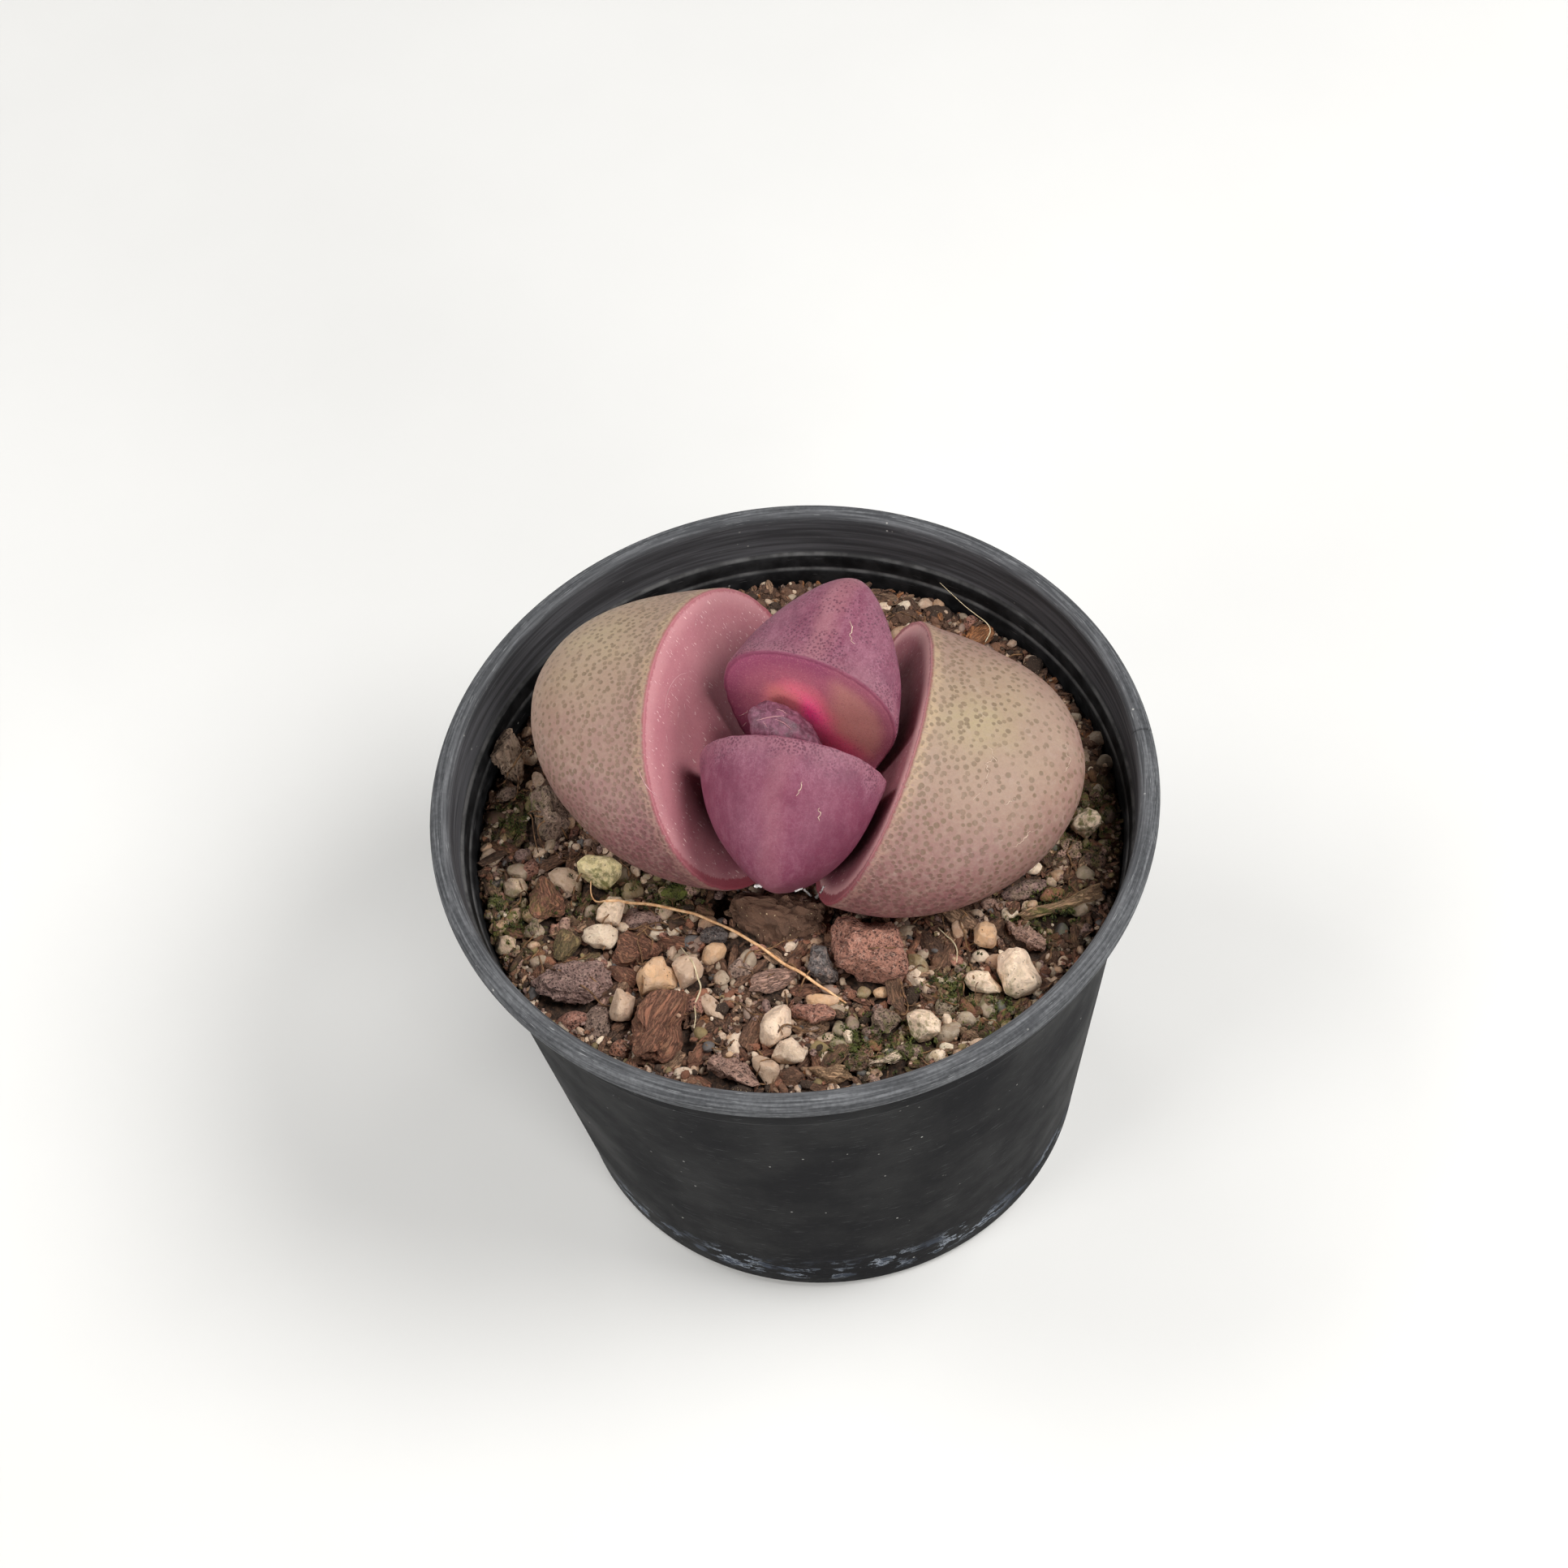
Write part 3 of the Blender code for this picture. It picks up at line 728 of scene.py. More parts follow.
def skin_map(leaf, rows):
    """The map's place of each point, and the two steps in the leaf's directions, as three arrays."""
    grid = np.stack(rows[1:-1])
    scaled = (grid - (0, leaf["length"] / 2, 0)) / (leaf["half_width"], leaf["length"] / 2, -leaf["depth"])
    slant = np.arctan2(np.hypot(scaled[..., 0], scaled[..., 1]), scaled[..., 2])
    bearing = np.arctan2(scaled[..., 1], scaled[..., 0])
    chart = SKIN_RADIUS * slant[..., None] * np.stack([np.cos(bearing), np.sin(bearing)], -1)

    def steps(values):
        down = np.gradient(values, axis=0)
        round_about = (np.roll(values, -1, 1) - np.roll(values, 1, 1)) / 2
        return down, round_about

    chart_down, chart_round = steps(chart)
    grid_down, grid_round = steps(grid)
    area = chart_down[..., 0] * chart_round[..., 1] - chart_down[..., 1] * chart_round[..., 0]
    area = np.where(np.abs(area) < 1e-6, 1e-6, area)[..., None]
    step_x = (grid_down * chart_round[..., 1:] - grid_round * chart_down[..., 1:]) / area
    step_y = (grid_round * chart_down[..., :1] - grid_down * chart_round[..., :1]) / area
    flat = np.concatenate([chart, np.zeros_like(chart[..., :1])], -1)

    def with_ends(values, first, last):
        return np.concatenate([[first], values.reshape(-1, 3), [last]])

    tip = flat[-1].mean(0)
    return (
        with_ends(flat, flat[0].mean(0), tip),
        with_ends(step_x, step_x[0].mean(0), step_x[-1].mean(0)),
        with_ends(step_y, step_y[0].mean(0), step_y[-1].mean(0)),
    )


def edge_distances(rows):
    """How far each point lies from the margin, below 0 on the face, and how far along the margin it lies."""
    margin = FACE_ROWS + EDGE_ROWS // 2
    grid = np.stack([np.broadcast_to(row, (LEAF_SIDES, 3)) for row in rows])
    paces = np.linalg.norm(np.diff(grid, axis=0), axis=2)
    walked = np.concatenate([np.zeros((1, LEAF_SIDES)), np.cumsum(paces, 0)])
    signed = walked - walked[margin]
    round_it = np.linalg.norm(np.diff(grid[margin], axis=0), axis=1)
    walk = np.tile(np.concatenate([[0], np.cumsum(round_it)]), len(rows) - 2)
    edge = np.concatenate([[signed[0].mean()], signed[1:-1].ravel(), [signed[-1].mean()]])
    return edge, np.concatenate([[0], walk, [0]])


# %% [markdown]
# A leaf isn't a perfect egg. The skin swells unevenly by a tenth or two of a millimetre, the margin is finely
# crinkled, and the younger leaves have a soft keel down their back. These go into the mesh, because a bump
# map would leave the outline smooth.

# %% Leaf meshes
OLD_FACES = ("old_leaf_left", "old_leaf_right")
SWELL_SIZE, RIPPLE_SIZE = 9, 3.2
MARGIN_CRINKLE, FACE_CRINKLE = 0.13, 0.04
KEEL_WIDTH, KEEL_TROUGH = 2.4, 6


def leaf_mesh(name, press_on, swell, keel=0.0):
    """A leaf, pressed against these others, with swells and a keel of so many millimetres."""
    leaf = leaves[name]
    rows = leaf_rows(leaf)
    own = np.concatenate(rows)
    across, along, out = (np.array(axis) for axis in leaf_axes(leaf))
    placed = np.array(leaf["base"]) + np.outer(own[:, 0], across) + np.outer(own[:, 1], along)
    placed = pressed(placed + np.outer(own[:, 2], out), press_on)
    sizes = np.cumsum([len(row) for row in rows])[:-1]
    mesh = loft(name + "_skin", np.split(placed, sizes))
    face_outward(mesh)
    edge, walk = edge_distances(rows)
    body = np.clip(edge / 3, 0, 1)
    near_edge = np.clip(1 - np.abs(edge) / 1.1, 0, 1)
    seed = len(name) + leaf["length"]
    shift = swell * body * (0.75 * waves(own, SWELL_SIZE, seed) + 0.25 * waves(own, RIPPLE_SIZE, seed) - 1)
    shift += MARGIN_CRINKLE * near_edge * (waves(own, 1.3, seed) - 0.7)
    shift += FACE_CRINKLE * (1 - body) * (waves(own * (1, 0.2, 1), 1.5, seed) - 0.5)
    from_keel = abs(own[:, 0])
    ridge = np.exp(-((from_keel / KEEL_WIDTH) ** 2)) - 0.8 * np.exp(-(((from_keel - KEEL_TROUGH) / 3) ** 2))
    shift += keel * body * (ridge - 1)
    move_points(mesh, placed + normals_of(mesh) * shift[:, None])
    chart, step_x, step_y = skin_map(leaf, rows)
    kept = {"own": own, "edge": edge, "walk": walk, "skin": chart}
    kept.update(skin_step_x=step_x, skin_step_y=step_y)
    for label, values in kept.items():
        store(mesh, label, values)
    print(name, len(mesh.vertices), "points")
    return mesh


leaf_meshes = {
    "old_leaf_left": leaf_mesh("old_leaf_left", (), swell=0.22),
    "old_leaf_right": leaf_mesh("old_leaf_right", (), swell=0.22),
    "new_leaf_back": leaf_mesh("new_leaf_back", OLD_FACES, swell=0.2, keel=0.1),
    "new_leaf_front": leaf_mesh("new_leaf_front", OLD_FACES, swell=0.2, keel=0.05),
}

# %% [markdown]
# The skin of the old leaves is beige round one spot of each leaf and turns mauve further from it. It carries
# thousands of olive-brown dots, which are windows of clear tissue. The dots sit one in each cell of a flat
# pattern on the map above, and each dot's edge is drawn by true distance, so that it stays round.


# %% Dots on the skin
def skin_dots(finish, spacing, radius, spread=0.85):
    """Round dots on the leaf's skin: 1 inside a dot, 0 outside it."""
    skin = finish.stored("skin")
    to_dot = skin - finish.cells(spacing, skin, spread, "Position", flat=True)
    right, up, _ = to_dot.parts()
    step_x, step_y = finish.stored("skin_step_x"), finish.stored("skin_step_y")
    step = step_x.scaled(right) + step_y.scaled(up)
    own_size = finish.cells(spacing, skin, spread, "Color", flat=True).parts()[0]
    reach = step.length() - (own_size - 0.5) * radius * 0.55
    return reach.ease(radius * 1.3, radius * 0.7)


# %% [markdown]
# The inner face is dusty rose with short pale flecks, with painted shade darkening it towards its base.
# More painted shade darkens the face away from the margin, most on the right leaf, whose face lies in the
# gap, and painted light pales it along the margin, most on the right leaf. The margin is a fine crinkled
# cord, dark red, wider and stronger near the base, and the skin beside it is plain and yellowish. The
# crinkles run across the cord, so they need the distance along it.


# %% Old leaf skin
BEIGE_SPOT_HEIGHT = 88


def old_leaf_skin(name, beige_spot_px, spacing, radius, painted_shade, painted_margin_light):
    """The skin of an old leaf. Spacing and radius are its dots'; painted shade and painted margin light are
    its face's.
    """
    finish = Finish(name + "_finish")
    # The skin is beige round this spot and turns mauve further from it.
    beige_spot = at_height(*beige_spot_px, BEIGE_SPOT_HEIGHT)
    edge = finish.stored("edge", "Fac")
    walk = finish.stored("walk", "Fac")
    clouds = finish.grain(6, detail=4)
    heart = (finish.place - tuple(beige_spot)).length() + (clouds - 0.5) * 14
    skin = finish.ramp(
        heart, 48,
        (0, rgb(156, 139, 108)), (8, rgb(147, 123, 103)), (17, rgb(139, 108, 97)),
        (28, rgb(128, 83, 84)), (40, rgb(116, 69, 77)),
    )
    mottle = finish.grain(0.8, detail=4, roughness=0.7).ease(0.4, 0.7)
    skin = skin.painted(mottle * 0.4, 162, 140, 124)
    pale = finish.grain(2.6, detail=5, roughness=0.65).ease(0.55, 0.75)
    skin = skin.painted(pale * 0.3, 168, 150, 138)
    fine = finish.grain(0.2, detail=2).ease(0.45, 0.75)
    skin = skin.painted(fine * 0.22, 108, 82, 70)
    hem = edge.ease(0.25, 0.6) * (edge + (clouds - 0.5) * 3).ease(2.4, 0.6)
    combed = finish.grain(0.3, finish.joined(walk, edge * 0.3, 0.0), 2)
    hem_color = finish.mix(heart.ease(10, 34), rgb(188, 162, 124), rgb(172, 136, 122))
    skin = finish.mix(hem * combed.ease(0.3, 0.55) * 0.4, skin, hem_color)
    dots = skin_dots(finish, spacing, radius) * edge.ease(0.3, 0.9)
    dot_color = finish.mix(heart.ease(16, 32), rgb(106, 87, 66), rgb(98, 64, 62))
    strength = 0.44 + 0.32 * finish.grain(2.5).ease(0.35, 0.65)
    skin = finish.mix(dots * strength, skin, dot_color)

    x, y, _ = finish.stored("own").parts()
    # Painted shade: the rose darkens towards the base of the face.
    rose = finish.mix(y.ease(28, 4), rgb(166, 106, 114), rgb(128, 68, 82))
    rose = rose.painted(finish.grain(3.5, detail=5).ease(0.35, 0.7) * 0.35, 176, 122, 125)
    flecks = finish.grain(0.4, finish.joined(x * 1.6, y * 0.35, 0.0), 2).ease(0.63, 0.7)
    flecks = flecks * finish.grain(2.5).ease(0.38, 0.55)
    rose = rose.painted(flecks * 0.85, 232, 204, 198)
    rose = rose.painted(finish.grain(0.3, detail=3).ease(0.45, 0.75) * 0.3, 140, 84, 92)
    # Painted shade: the face darkens away from the margin, most on the right leaf, whose face lies in the
    # gap.
    rose = rose.painted(edge.ease(-3.2, -8) * painted_shade, 70, 36, 42)
    # Painted light: the face pales along the margin, most on the right leaf.
    rose = rose.painted(edge.ease(-3.4, -0.9) * painted_margin_light, 228, 178, 176)

    ticks = finish.grain(0.34, finish.joined(walk, edge * 0.35, 0.0), 2)
    color = finish.mix(edge.ease(0.1, -0.1), skin, rose)
    low = y.ease(26, 8)
    cord = (edge + (ticks - 0.5) * 1.0).ease(0.42, 0.05)
    cord = cord * (edge + low + (ticks - 0.5) * 0.9).ease(-0.65, -0.3)
    color = color.painted(cord * (0.55 + 0.35 * low), 138, 58, 70)
    near = abs(edge - 0.3).ease(1.0, 0.3)

    relief = finish.grain(0.35, detail=3) * 0.5 + mottle * 0.15 + ticks * near * 0.9 - dots * 0.4
    finish.set(
        Base_Color=color,
        Roughness=0.5 + 0.14 * mottle,
        Normal=finish.bump(relief, 0.09),
        Subsurface_Weight=0.1,
        Subsurface_Radius=(1.0, 0.45, 0.35),
        Subsurface_Scale=1 * MM,
        Specular_IOR_Level=0.35,
    )
    return finish


for name, *look in (
    ("old_leaf_left", (742, 800), 0.9, 0.29, 0.15, 0.2),
    ("old_leaf_right", (1210, 880), 1.08, 0.32, 0.65, 0.8),
):
    add_piece(name + "_skin", leaf_meshes[name], old_leaf_skin(name, *look), [name])

# %% [markdown]
# The new leaves are purple, with a waxy bloom at the rim, a pale keel and fine dark speckles. The back leaf
# has dots all over, and the front one only near its rim. Light that enters the thick back leaf comes out of
# its face as a magenta glow beside the bud, with orange and tan round it. Real light could do this only with
# a much slower render, so the glow is painted round the spot where it shows.

# %% New leaf skin
GLOW_PX = (993, 879)


def face_place(leaf, px, py):
    """The point of a leaf's face behind a pixel, as distances across and along the face."""
    across, along, out = leaf_axes(leaf)
    sight = sight_through(px, py)
    base = Vector(leaf["base"])
    hit = eye + sight * ((base - eye).dot(out) / sight.dot(out)) - base
    return hit.dot(across), hit.dot(along)


def new_leaf_skin(name, glow_at, dots_reach, painted_shade, ridge):
    """The skin of a new leaf: where its glow is, how far its dots reach, its painted shade and its pale keel.
    """
    finish = Finish(name + "_finish")
    edge = finish.stored("edge", "Fac")
    x, y, depth = finish.stored("own").parts()
    skin = finish.mix(y.ease(26, 2), rgb(118, 62, 82), rgb(94, 32, 57))
    streaky = finish.grain(0.9, finish.joined(x, y * 0.5, depth * 0.5), 4, 0.65)
    skin = skin.painted(streaky.ease(0.42, 0.66) * 0.55, 146, 96, 112)
    net = abs(finish.grain(0.7, detail=3) - 0.5).ease(0.04, 0.0)
    skin = skin.painted(net * 0.34, 164, 118, 132)
    skin = skin.painted(finish.grain(4.5).ease(0.45, 0.75) * 0.5, 88, 40, 60)
    # Painted shade: the body darkens away from the rim.
    skin = skin.painted(edge.ease(1.5, 7) * painted_shade, 106, 34, 60)
    keel = abs(x + (finish.grain(5) - 0.5) * 4).ease(2.8, 0.3) * y.ease(8, 20)
    skin = skin.painted(keel * ridge, 156, 108, 112)
    bloom = (edge + (finish.grain(2.5) - 0.5) * 3).ease(4.0, 0.4)
    skin = skin.painted(bloom * 0.45, 140, 92, 102)
    dots = skin_dots(finish, 0.66, 0.14, 1.0) * finish.grain(4).ease(0.38, 0.58)
    dots = dots * edge.ease(dots_reach, dots_reach * 0.4)
    skin = skin.painted(dots * 0.7, 80, 34, 54)
    speckle = finish.grain(0.25, detail=2).ease(0.55, 0.68)
    skin = skin.painted(speckle * 0.28, 86, 36, 58)

    way = 1 if name == "new_leaf_back" else -1
    across = x - glow_at[0]
    along = y - glow_at[1]
    uneven = (finish.grain(5) - 0.5) * 2.5
    to_right = across * way
    lean = 3.2 * to_right.ease(-1.5, 6)
    from_glow = finish.joined(across * 0.85, along + lean, 0.0).length() + uneven
    face = finish.ramp(
        from_glow, 22,
        (0, rgb(255, 66, 146)), (2.4, rgb(255, 108, 152)), (4.4, rgb(210, 108, 126)),
        (6.4, rgb(166, 92, 110)), (12.0, rgb(154, 84, 110)), (18.0, rgb(144, 76, 106)),
    )
    orange = to_right.ease(-7.5, -4.0) * to_right.ease(0.5, -2.0)
    orange = orange * along.ease(-4, -1) * along.ease(4.5, 1.5)
    face = face.painted(orange * 0.55, 200, 130, 108)
    tan = (to_right + uneven * 0.5).ease(1.8, 5.5) * (along + to_right * 0.45).ease(-4, 0)
    face = face.painted(tan * 0.75, 190, 136, 122)
    crimson = to_right.ease(-3, 1) * to_right.ease(12, 5)
    crimson = crimson * (along + to_right * 0.3).ease(0, -3)
    face = face.painted(crimson * 0.6, 214, 66, 118)
    rim = (edge + (finish.grain(2) - 0.5) * 0.8).ease(-4.2, -1.2)
    face = face.painted(rim * 0.75, 146, 72, 102)
    face = face.painted(speckle * 0.35, 128, 52, 84)
    face = face.painted(finish.grain(0.2, detail=2).ease(0.52, 0.7) * 0.3, 212, 150, 154)
    color = finish.mix(edge.ease(0.15, -0.15), skin, face)
    margin = abs(edge + (streaky - 0.5) * 0.6 + 0.25).ease(0.5, 0.15)
    color = color.painted(margin * 0.6, 104, 42, 66)
    finish.set(
        Base_Color=color,
        Roughness=0.52 + 0.12 * streaky.ease(0.4, 0.7),
        Normal=finish.bump(streaky * 0.5 + finish.grain(0.3) * 0.5 - dots * 0.3, 0.08),
        Subsurface_Weight=0.12,
        Subsurface_Radius=(1.0, 0.25, 0.4),
        Subsurface_Scale=1.2 * MM,
        Specular_IOR_Level=0.35,
    )
    return finish


glow = face_place(leaves["new_leaf_back"], *GLOW_PX)
print("glow on the back leaf's face:", [round(value, 1) for value in glow])
for name, *look in (
    ("new_leaf_back", glow, 40, 0.16, 0.5),
    ("new_leaf_front", (-glow[0], glow[1]), 5, 0.46, 0.22),
):
    add_piece(name + "_skin", leaf_meshes[name], new_leaf_skin(name, *look), [name])

# %% [markdown]
# Between the new leaves stands the bud, a small blunt cap with flat sides, like a folded paper hat. Its rings
# widen from the top down and narrow again to the base. Six flats are struck off each, which leaves ridges
# between them.

# %% Bud
BUD_BASE = Vector((1.2, 0.5, 66))
BUD_TIP = Vector((-3.0, 2.4, 89.6))
BUD_HALF_WIDTH = 5.4
BUD_FLATS = (0.2, 1.35, 2.2, 3.4, 4.5, 5.4)
BUD_SHARPNESS = 14
BUD_LEAN = 1.5
BUD_SIDES = 120
BUD_ROWS = 60
ALL_FACES = ("old_leaf_left", "old_leaf_right", "new_leaf_back", "new_leaf_front")


def bud_rows():
    """Rings from the bud's tip down. Each is as wide as the cap is there, with the flats struck off."""
    turn = np.arange(BUD_SIDES) * math.tau / BUD_SIDES
    rows = [np.array([BUD_TIP])]
    for down in np.arange(1, BUD_ROWS) / BUD_ROWS:
        width = BUD_HALF_WIDTH * 2.15 * down**0.38 * (1 - down) ** 0.4 * (1 - 0.45 * down)
        struck = sum(np.clip(np.cos(turn - flat - 0.5 * down), 0, 1) ** BUD_SHARPNESS for flat in BUD_FLATS)
        reach = width * 0.9 * (0.3 + struck) ** (-1 / BUD_SHARPNESS)
        centre = BUD_TIP.lerp(BUD_BASE, down) + side * BUD_LEAN * min(1, 7 * down)
        ring = np.stack([reach * np.cos(turn), reach * np.sin(turn), np.zeros(BUD_SIDES)], -1)
        rows.append(ring + np.array(centre))
    return rows + [np.array([BUD_BASE])]


bud_points = bud_rows()
bud_mesh = loft("bud_skin", bud_points)
face_outward(bud_mesh)
smooth = points_of(bud_mesh)
crumple = np.abs(waves(smooth * (1, 1, 0.6), 1.9, 4)) + 0.4 * np.abs(waves(smooth, 0.8, 5))
smooth = pressed(smooth - normals_of(bud_mesh) * (0.45 * crumple)[:, None], ALL_FACES)
move_points(bud_mesh, smooth)


def bud_skin():
    finish = Finish("bud_silk")
    folds = finish.grain(1.2, detail=4, roughness=0.7).ease(0.35, 0.7)
    color = finish.mix(folds, rgb(88, 46, 62), rgb(138, 86, 106))
    lines = abs(finish.grain(1.5, detail=2) - 0.5).ease(0.03, 0.0)
    color = color.painted(lines * 0.2, 180, 140, 154)
    finish.set(
        Base_Color=color,
        Roughness=0.5 + 0.15 * folds,
        Normal=finish.bump(finish.grain(0.4, detail=3), 0.08),
        Subsurface_Weight=0.1,
        Subsurface_Radius=(1.0, 0.4, 0.5),
        Subsurface_Scale=1 * MM,
    )
    return finish


add_piece("bud_cap", bud_mesh, bud_skin(), ["bud"])

# %% [markdown]
# The root crown under the leaves is buried, and its measured solid stays as it is. It only gets a bark
# finish.


# %% Root crown
def crown_bark():
    finish = Finish("crown_bark")
    rough = finish.grain(1.5, detail=5, roughness=0.7)
    finish.set(
        Base_Color=finish.mix(rough, rgb(70, 50, 36), rgb(138, 108, 78)),
        Roughness=0.85,
        Normal=finish.bump(rough, 0.3),
    )
    return finish


crown_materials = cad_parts["root_crown"].data.materials
crown_materials.clear()
crown_materials.append(crown_bark().material)

# %% [markdown]
# Stones and grit come in five kinds: lava is full of pores, pumice is pale and worn, bark splits along its
# fibres, a crumb is a dark clod of peat, and a pebble is nearly smooth. Each has a tint from a short list, so
# that the grit keeps a family of colours.

# %% Colours of the grit
TINTS = {
    "cream": (250, 222, 194),
    "white": (228, 206, 180),
    "sand": (206, 176, 150),
    "tan": (184, 146, 116),
    "orange": (190, 124, 76),
    "ochre": (214, 172, 132),
    "olive": (140, 120, 80),
    "moss": (98, 98, 50),
    "olive_cream": (248, 228, 172),
    "grey": (164, 144, 122),
    "ash": (154, 128, 112),
    "slate": (104, 98, 95),
    "purple": (162, 130, 120),
    "rose": (190, 150, 132),
    "red": (180, 126, 106),
    "rust": (156, 104, 80),
    "brown": (134, 96, 74),
    "umber": (108, 79, 62),
    "dark": (72, 55, 44),
}
# Each stone's kind, tint and how far its surface is roughened, in millimetres
STONES = {
    "lava_red": ("lava", "red", 0.3),
    "lava_purple": ("lava", "purple", 0.32),
    "lava_grey_left": ("lava", "ash", 0.5),
    "lava_rough_left": ("lava", "sand", 0.5),
    "lava_right": ("lava", "rose", 0.45),
    "lava_front": ("lava", "ash", 0.3),
    "lava_rim_right": ("lava", "cream", 0.35),
    "lava_rim_front": ("lava", "rose", 0.35),
    "stone_red": ("lava", "red", 0.2),
    "stone_blue": ("lava", "slate", 0.16),
    "stone_grey": ("pumice", "sand", 0.06),
    "pumice_large": ("pumice", "olive_cream", 0.1),
    "pumice_left_1": ("pumice", "cream", 0.1),
    "pumice_left_2": ("pumice", "white", 0.1),
    "pumice_left_3": ("pumice", "sand", 0.1),
    "pumice_left_4": ("pumice", "sand", 0.05),
    "pumice_left_5": ("pumice", "sand", 0.12),
    "pumice_middle": ("pumice", "ochre", 0.12),
    "pumice_front_1": ("pumice", "cream", 0.08),
    "pumice_front_2": ("pumice", "cream", 0.1),
    "pumice_front_3": ("pumice", "sand", 0.05),
    "pumice_right_1": ("pumice", "cream", 0.14),
    "pumice_right_2": ("pumice", "cream", 0.12),
    "pumice_right_3": ("pumice", "cream", 0.12),
    "pumice_right_4": ("pumice", "cream", 0.08),
    "pumice_orange_1": ("pumice", "ochre", 0.12),
    "pumice_orange_2": ("pumice", "ochre", 0.1),
    "bark_large": ("bark", "rust", 0.4),
    "bark_left_1": ("bark", "rust", 0.22),
    "bark_left_2": ("bark", "rust", 0.22),
    "bark_left_3": ("pumice", "sand", 0.1),
    "bark_front": ("bark", "ochre", 0.25),
    "bark_clump": ("crumb", "umber", 0.75),
    "bark_back": ("bark", "orange", 0.2),
    "bark_stick": ("bark", "ochre", 0.16),
}

# %% [markdown]
# One finish serves all grit of a kind. The colour comes with the mesh, and so does each grain's own set of
# coordinates, so that the fibres of every bark chip run along it, however it lies.


# %% Grit finishes
def grit_finish(kind):
    finish = Finish("grit_" + kind)
    own = finish.stored("own")
    tint = finish.stored("tint", "Color")
    green = finish.stored("green", "Fac")
    x, y, z = own.parts()
    patches = finish.grain(1.4, own, 4, 0.6)
    fine = finish.grain(0.28, own, 3, 0.6)
    roughness = 0.85
    if kind == "lava":
        pores = finish.cells(0.5, own).ease(0.16, 0.42)
        small = finish.cells(0.22, own).ease(0.12, 0.4)
        color = tint.painted(patches.ease(0.3, 0.7) * 0.4, 88, 64, 60)
        color = color.painted((1 - pores) * 0.6, 50, 32, 28)
        crystals = finish.cells(0.55, own + (3.3, 1.7, 0.4)).ease(0.16, 0.08)
        color = color.painted(crystals * 0.8, 212, 188, 172)
        dusty = finish.grain(0.7, own + (1.5, 4.2, 0.3), 5, 0.7).ease(0.5, 0.68)
        color = color.painted(dusty * 0.4, 206, 172, 154)
        relief = pores * 0.7 + small * 0.5 + fine * 0.6 + patches * 0.4
        depth = 0.55
    elif kind == "pumice":
        stain = finish.grain(0.9, own, 5, 0.7).ease(0.5, 0.7)
        color = tint.painted(stain * 0.5, 174, 132, 98)
        color = color.painted(patches.ease(0.4, 0.7) * 0.3, 234, 214, 192)
        rosy = finish.grain(1.9, own + (5.1, 2.2, 0.7), 3).ease(0.5, 0.7)
        color = color.painted(rosy * 0.3, 176, 136, 120)
        pits = finish.cells(0.8, own).ease(0.16, 0.07)
        color = color.painted(pits * 0.7, 92, 72, 54)
        crystals = finish.cells(0.75, own, out="Color").parts()[0]
        small = finish.cells(0.35, own, out="Color").parts()[0]
        color = color.painted(crystals.ease(0.55, 0.95) * 0.35, 156, 128, 106)
        relief = fine * 0.5 + patches * 0.4 - pits * 0.5 + crystals * 0.4 + small * 0.25
        depth = 0.34
        roughness = 0.7
    elif kind == "bark":
        fibre = finish.grain(0.5, finish.joined(x * 0.22, y * 1.5, z * 2.0), 5, 0.65)
        split = abs(fibre - 0.5).ease(0.05, 0.0)
        color = tint.painted(fibre.ease(0.3, 0.7) * 0.5, 56, 38, 29)
        color = color.painted(patches.ease(0.45, 0.75) * 0.45, 168, 124, 92)
        color = color.painted(split * 0.5, 30, 20, 16)
        torn = finish.grain(0.35, finish.joined(x * 0.4, y, z), 4, 0.7).ease(0.52, 0.68)
        color = color.painted(torn * 0.4, 196, 150, 116)
        relief = fibre * 0.6 - split * 0.4 + fine * 0.4 + patches * 0.5 + torn * 0.3
        depth = 0.45
    elif kind == "crumb":
        color = tint.painted(patches.ease(0.35, 0.7) * 0.4, 42, 30, 23)
        crystals = finish.cells(0.42, own).ease(0.15, 0.09)
        shown = crystals * finish.grain(1.2, own).ease(0.4, 0.55)
        color = color.painted(shown, 232, 204, 160)
        relief = fine + patches * 0.6 + crystals * 0.4
        depth = 0.4
        roughness = 0.95
    else:
        color = tint.painted(patches.ease(0.35, 0.7) * 0.4, 62, 60, 60)
        flecks = finish.cells(0.4, own).ease(0.12, 0.05)
        color = color.painted(flecks * 0.5, 168, 166, 164)
        relief = fine
        depth = 0.12
        roughness = 0.75
    dust = finish.grain(0.4, own, 3).ease(0.62, 0.75)
    color = color.painted(dust * 0.3, 176, 154, 128)
    mossy = finish.mix(fine, rgb(52, 58, 22), rgb(126, 132, 52))
    color = finish.mix(green * finish.grain(0.9, own, 4).ease(0.42, 0.6) * 0.85, color, mossy)
    finish.set(Base_Color=color, Roughness=roughness, Normal=finish.bump(relief, depth))
    if kind == "pumice":
        finish.set(Subsurface_Weight=0.15, Subsurface_Radius=(1.0, 0.8, 0.5), Subsurface_Scale=0.8 * MM)
    return finish


grit_finishes = {kind: grit_finish(kind) for kind in ("lava", "pumice", "bark", "crumb", "pebble")}

# %% [markdown]
# Moss grows where the mix stays damp: in the shade by the wall on the right, at the front, and on the left. A
# few spots, each with a reach, say how green the stones and grains are there. The tufts of moss stand round
# the same spots.

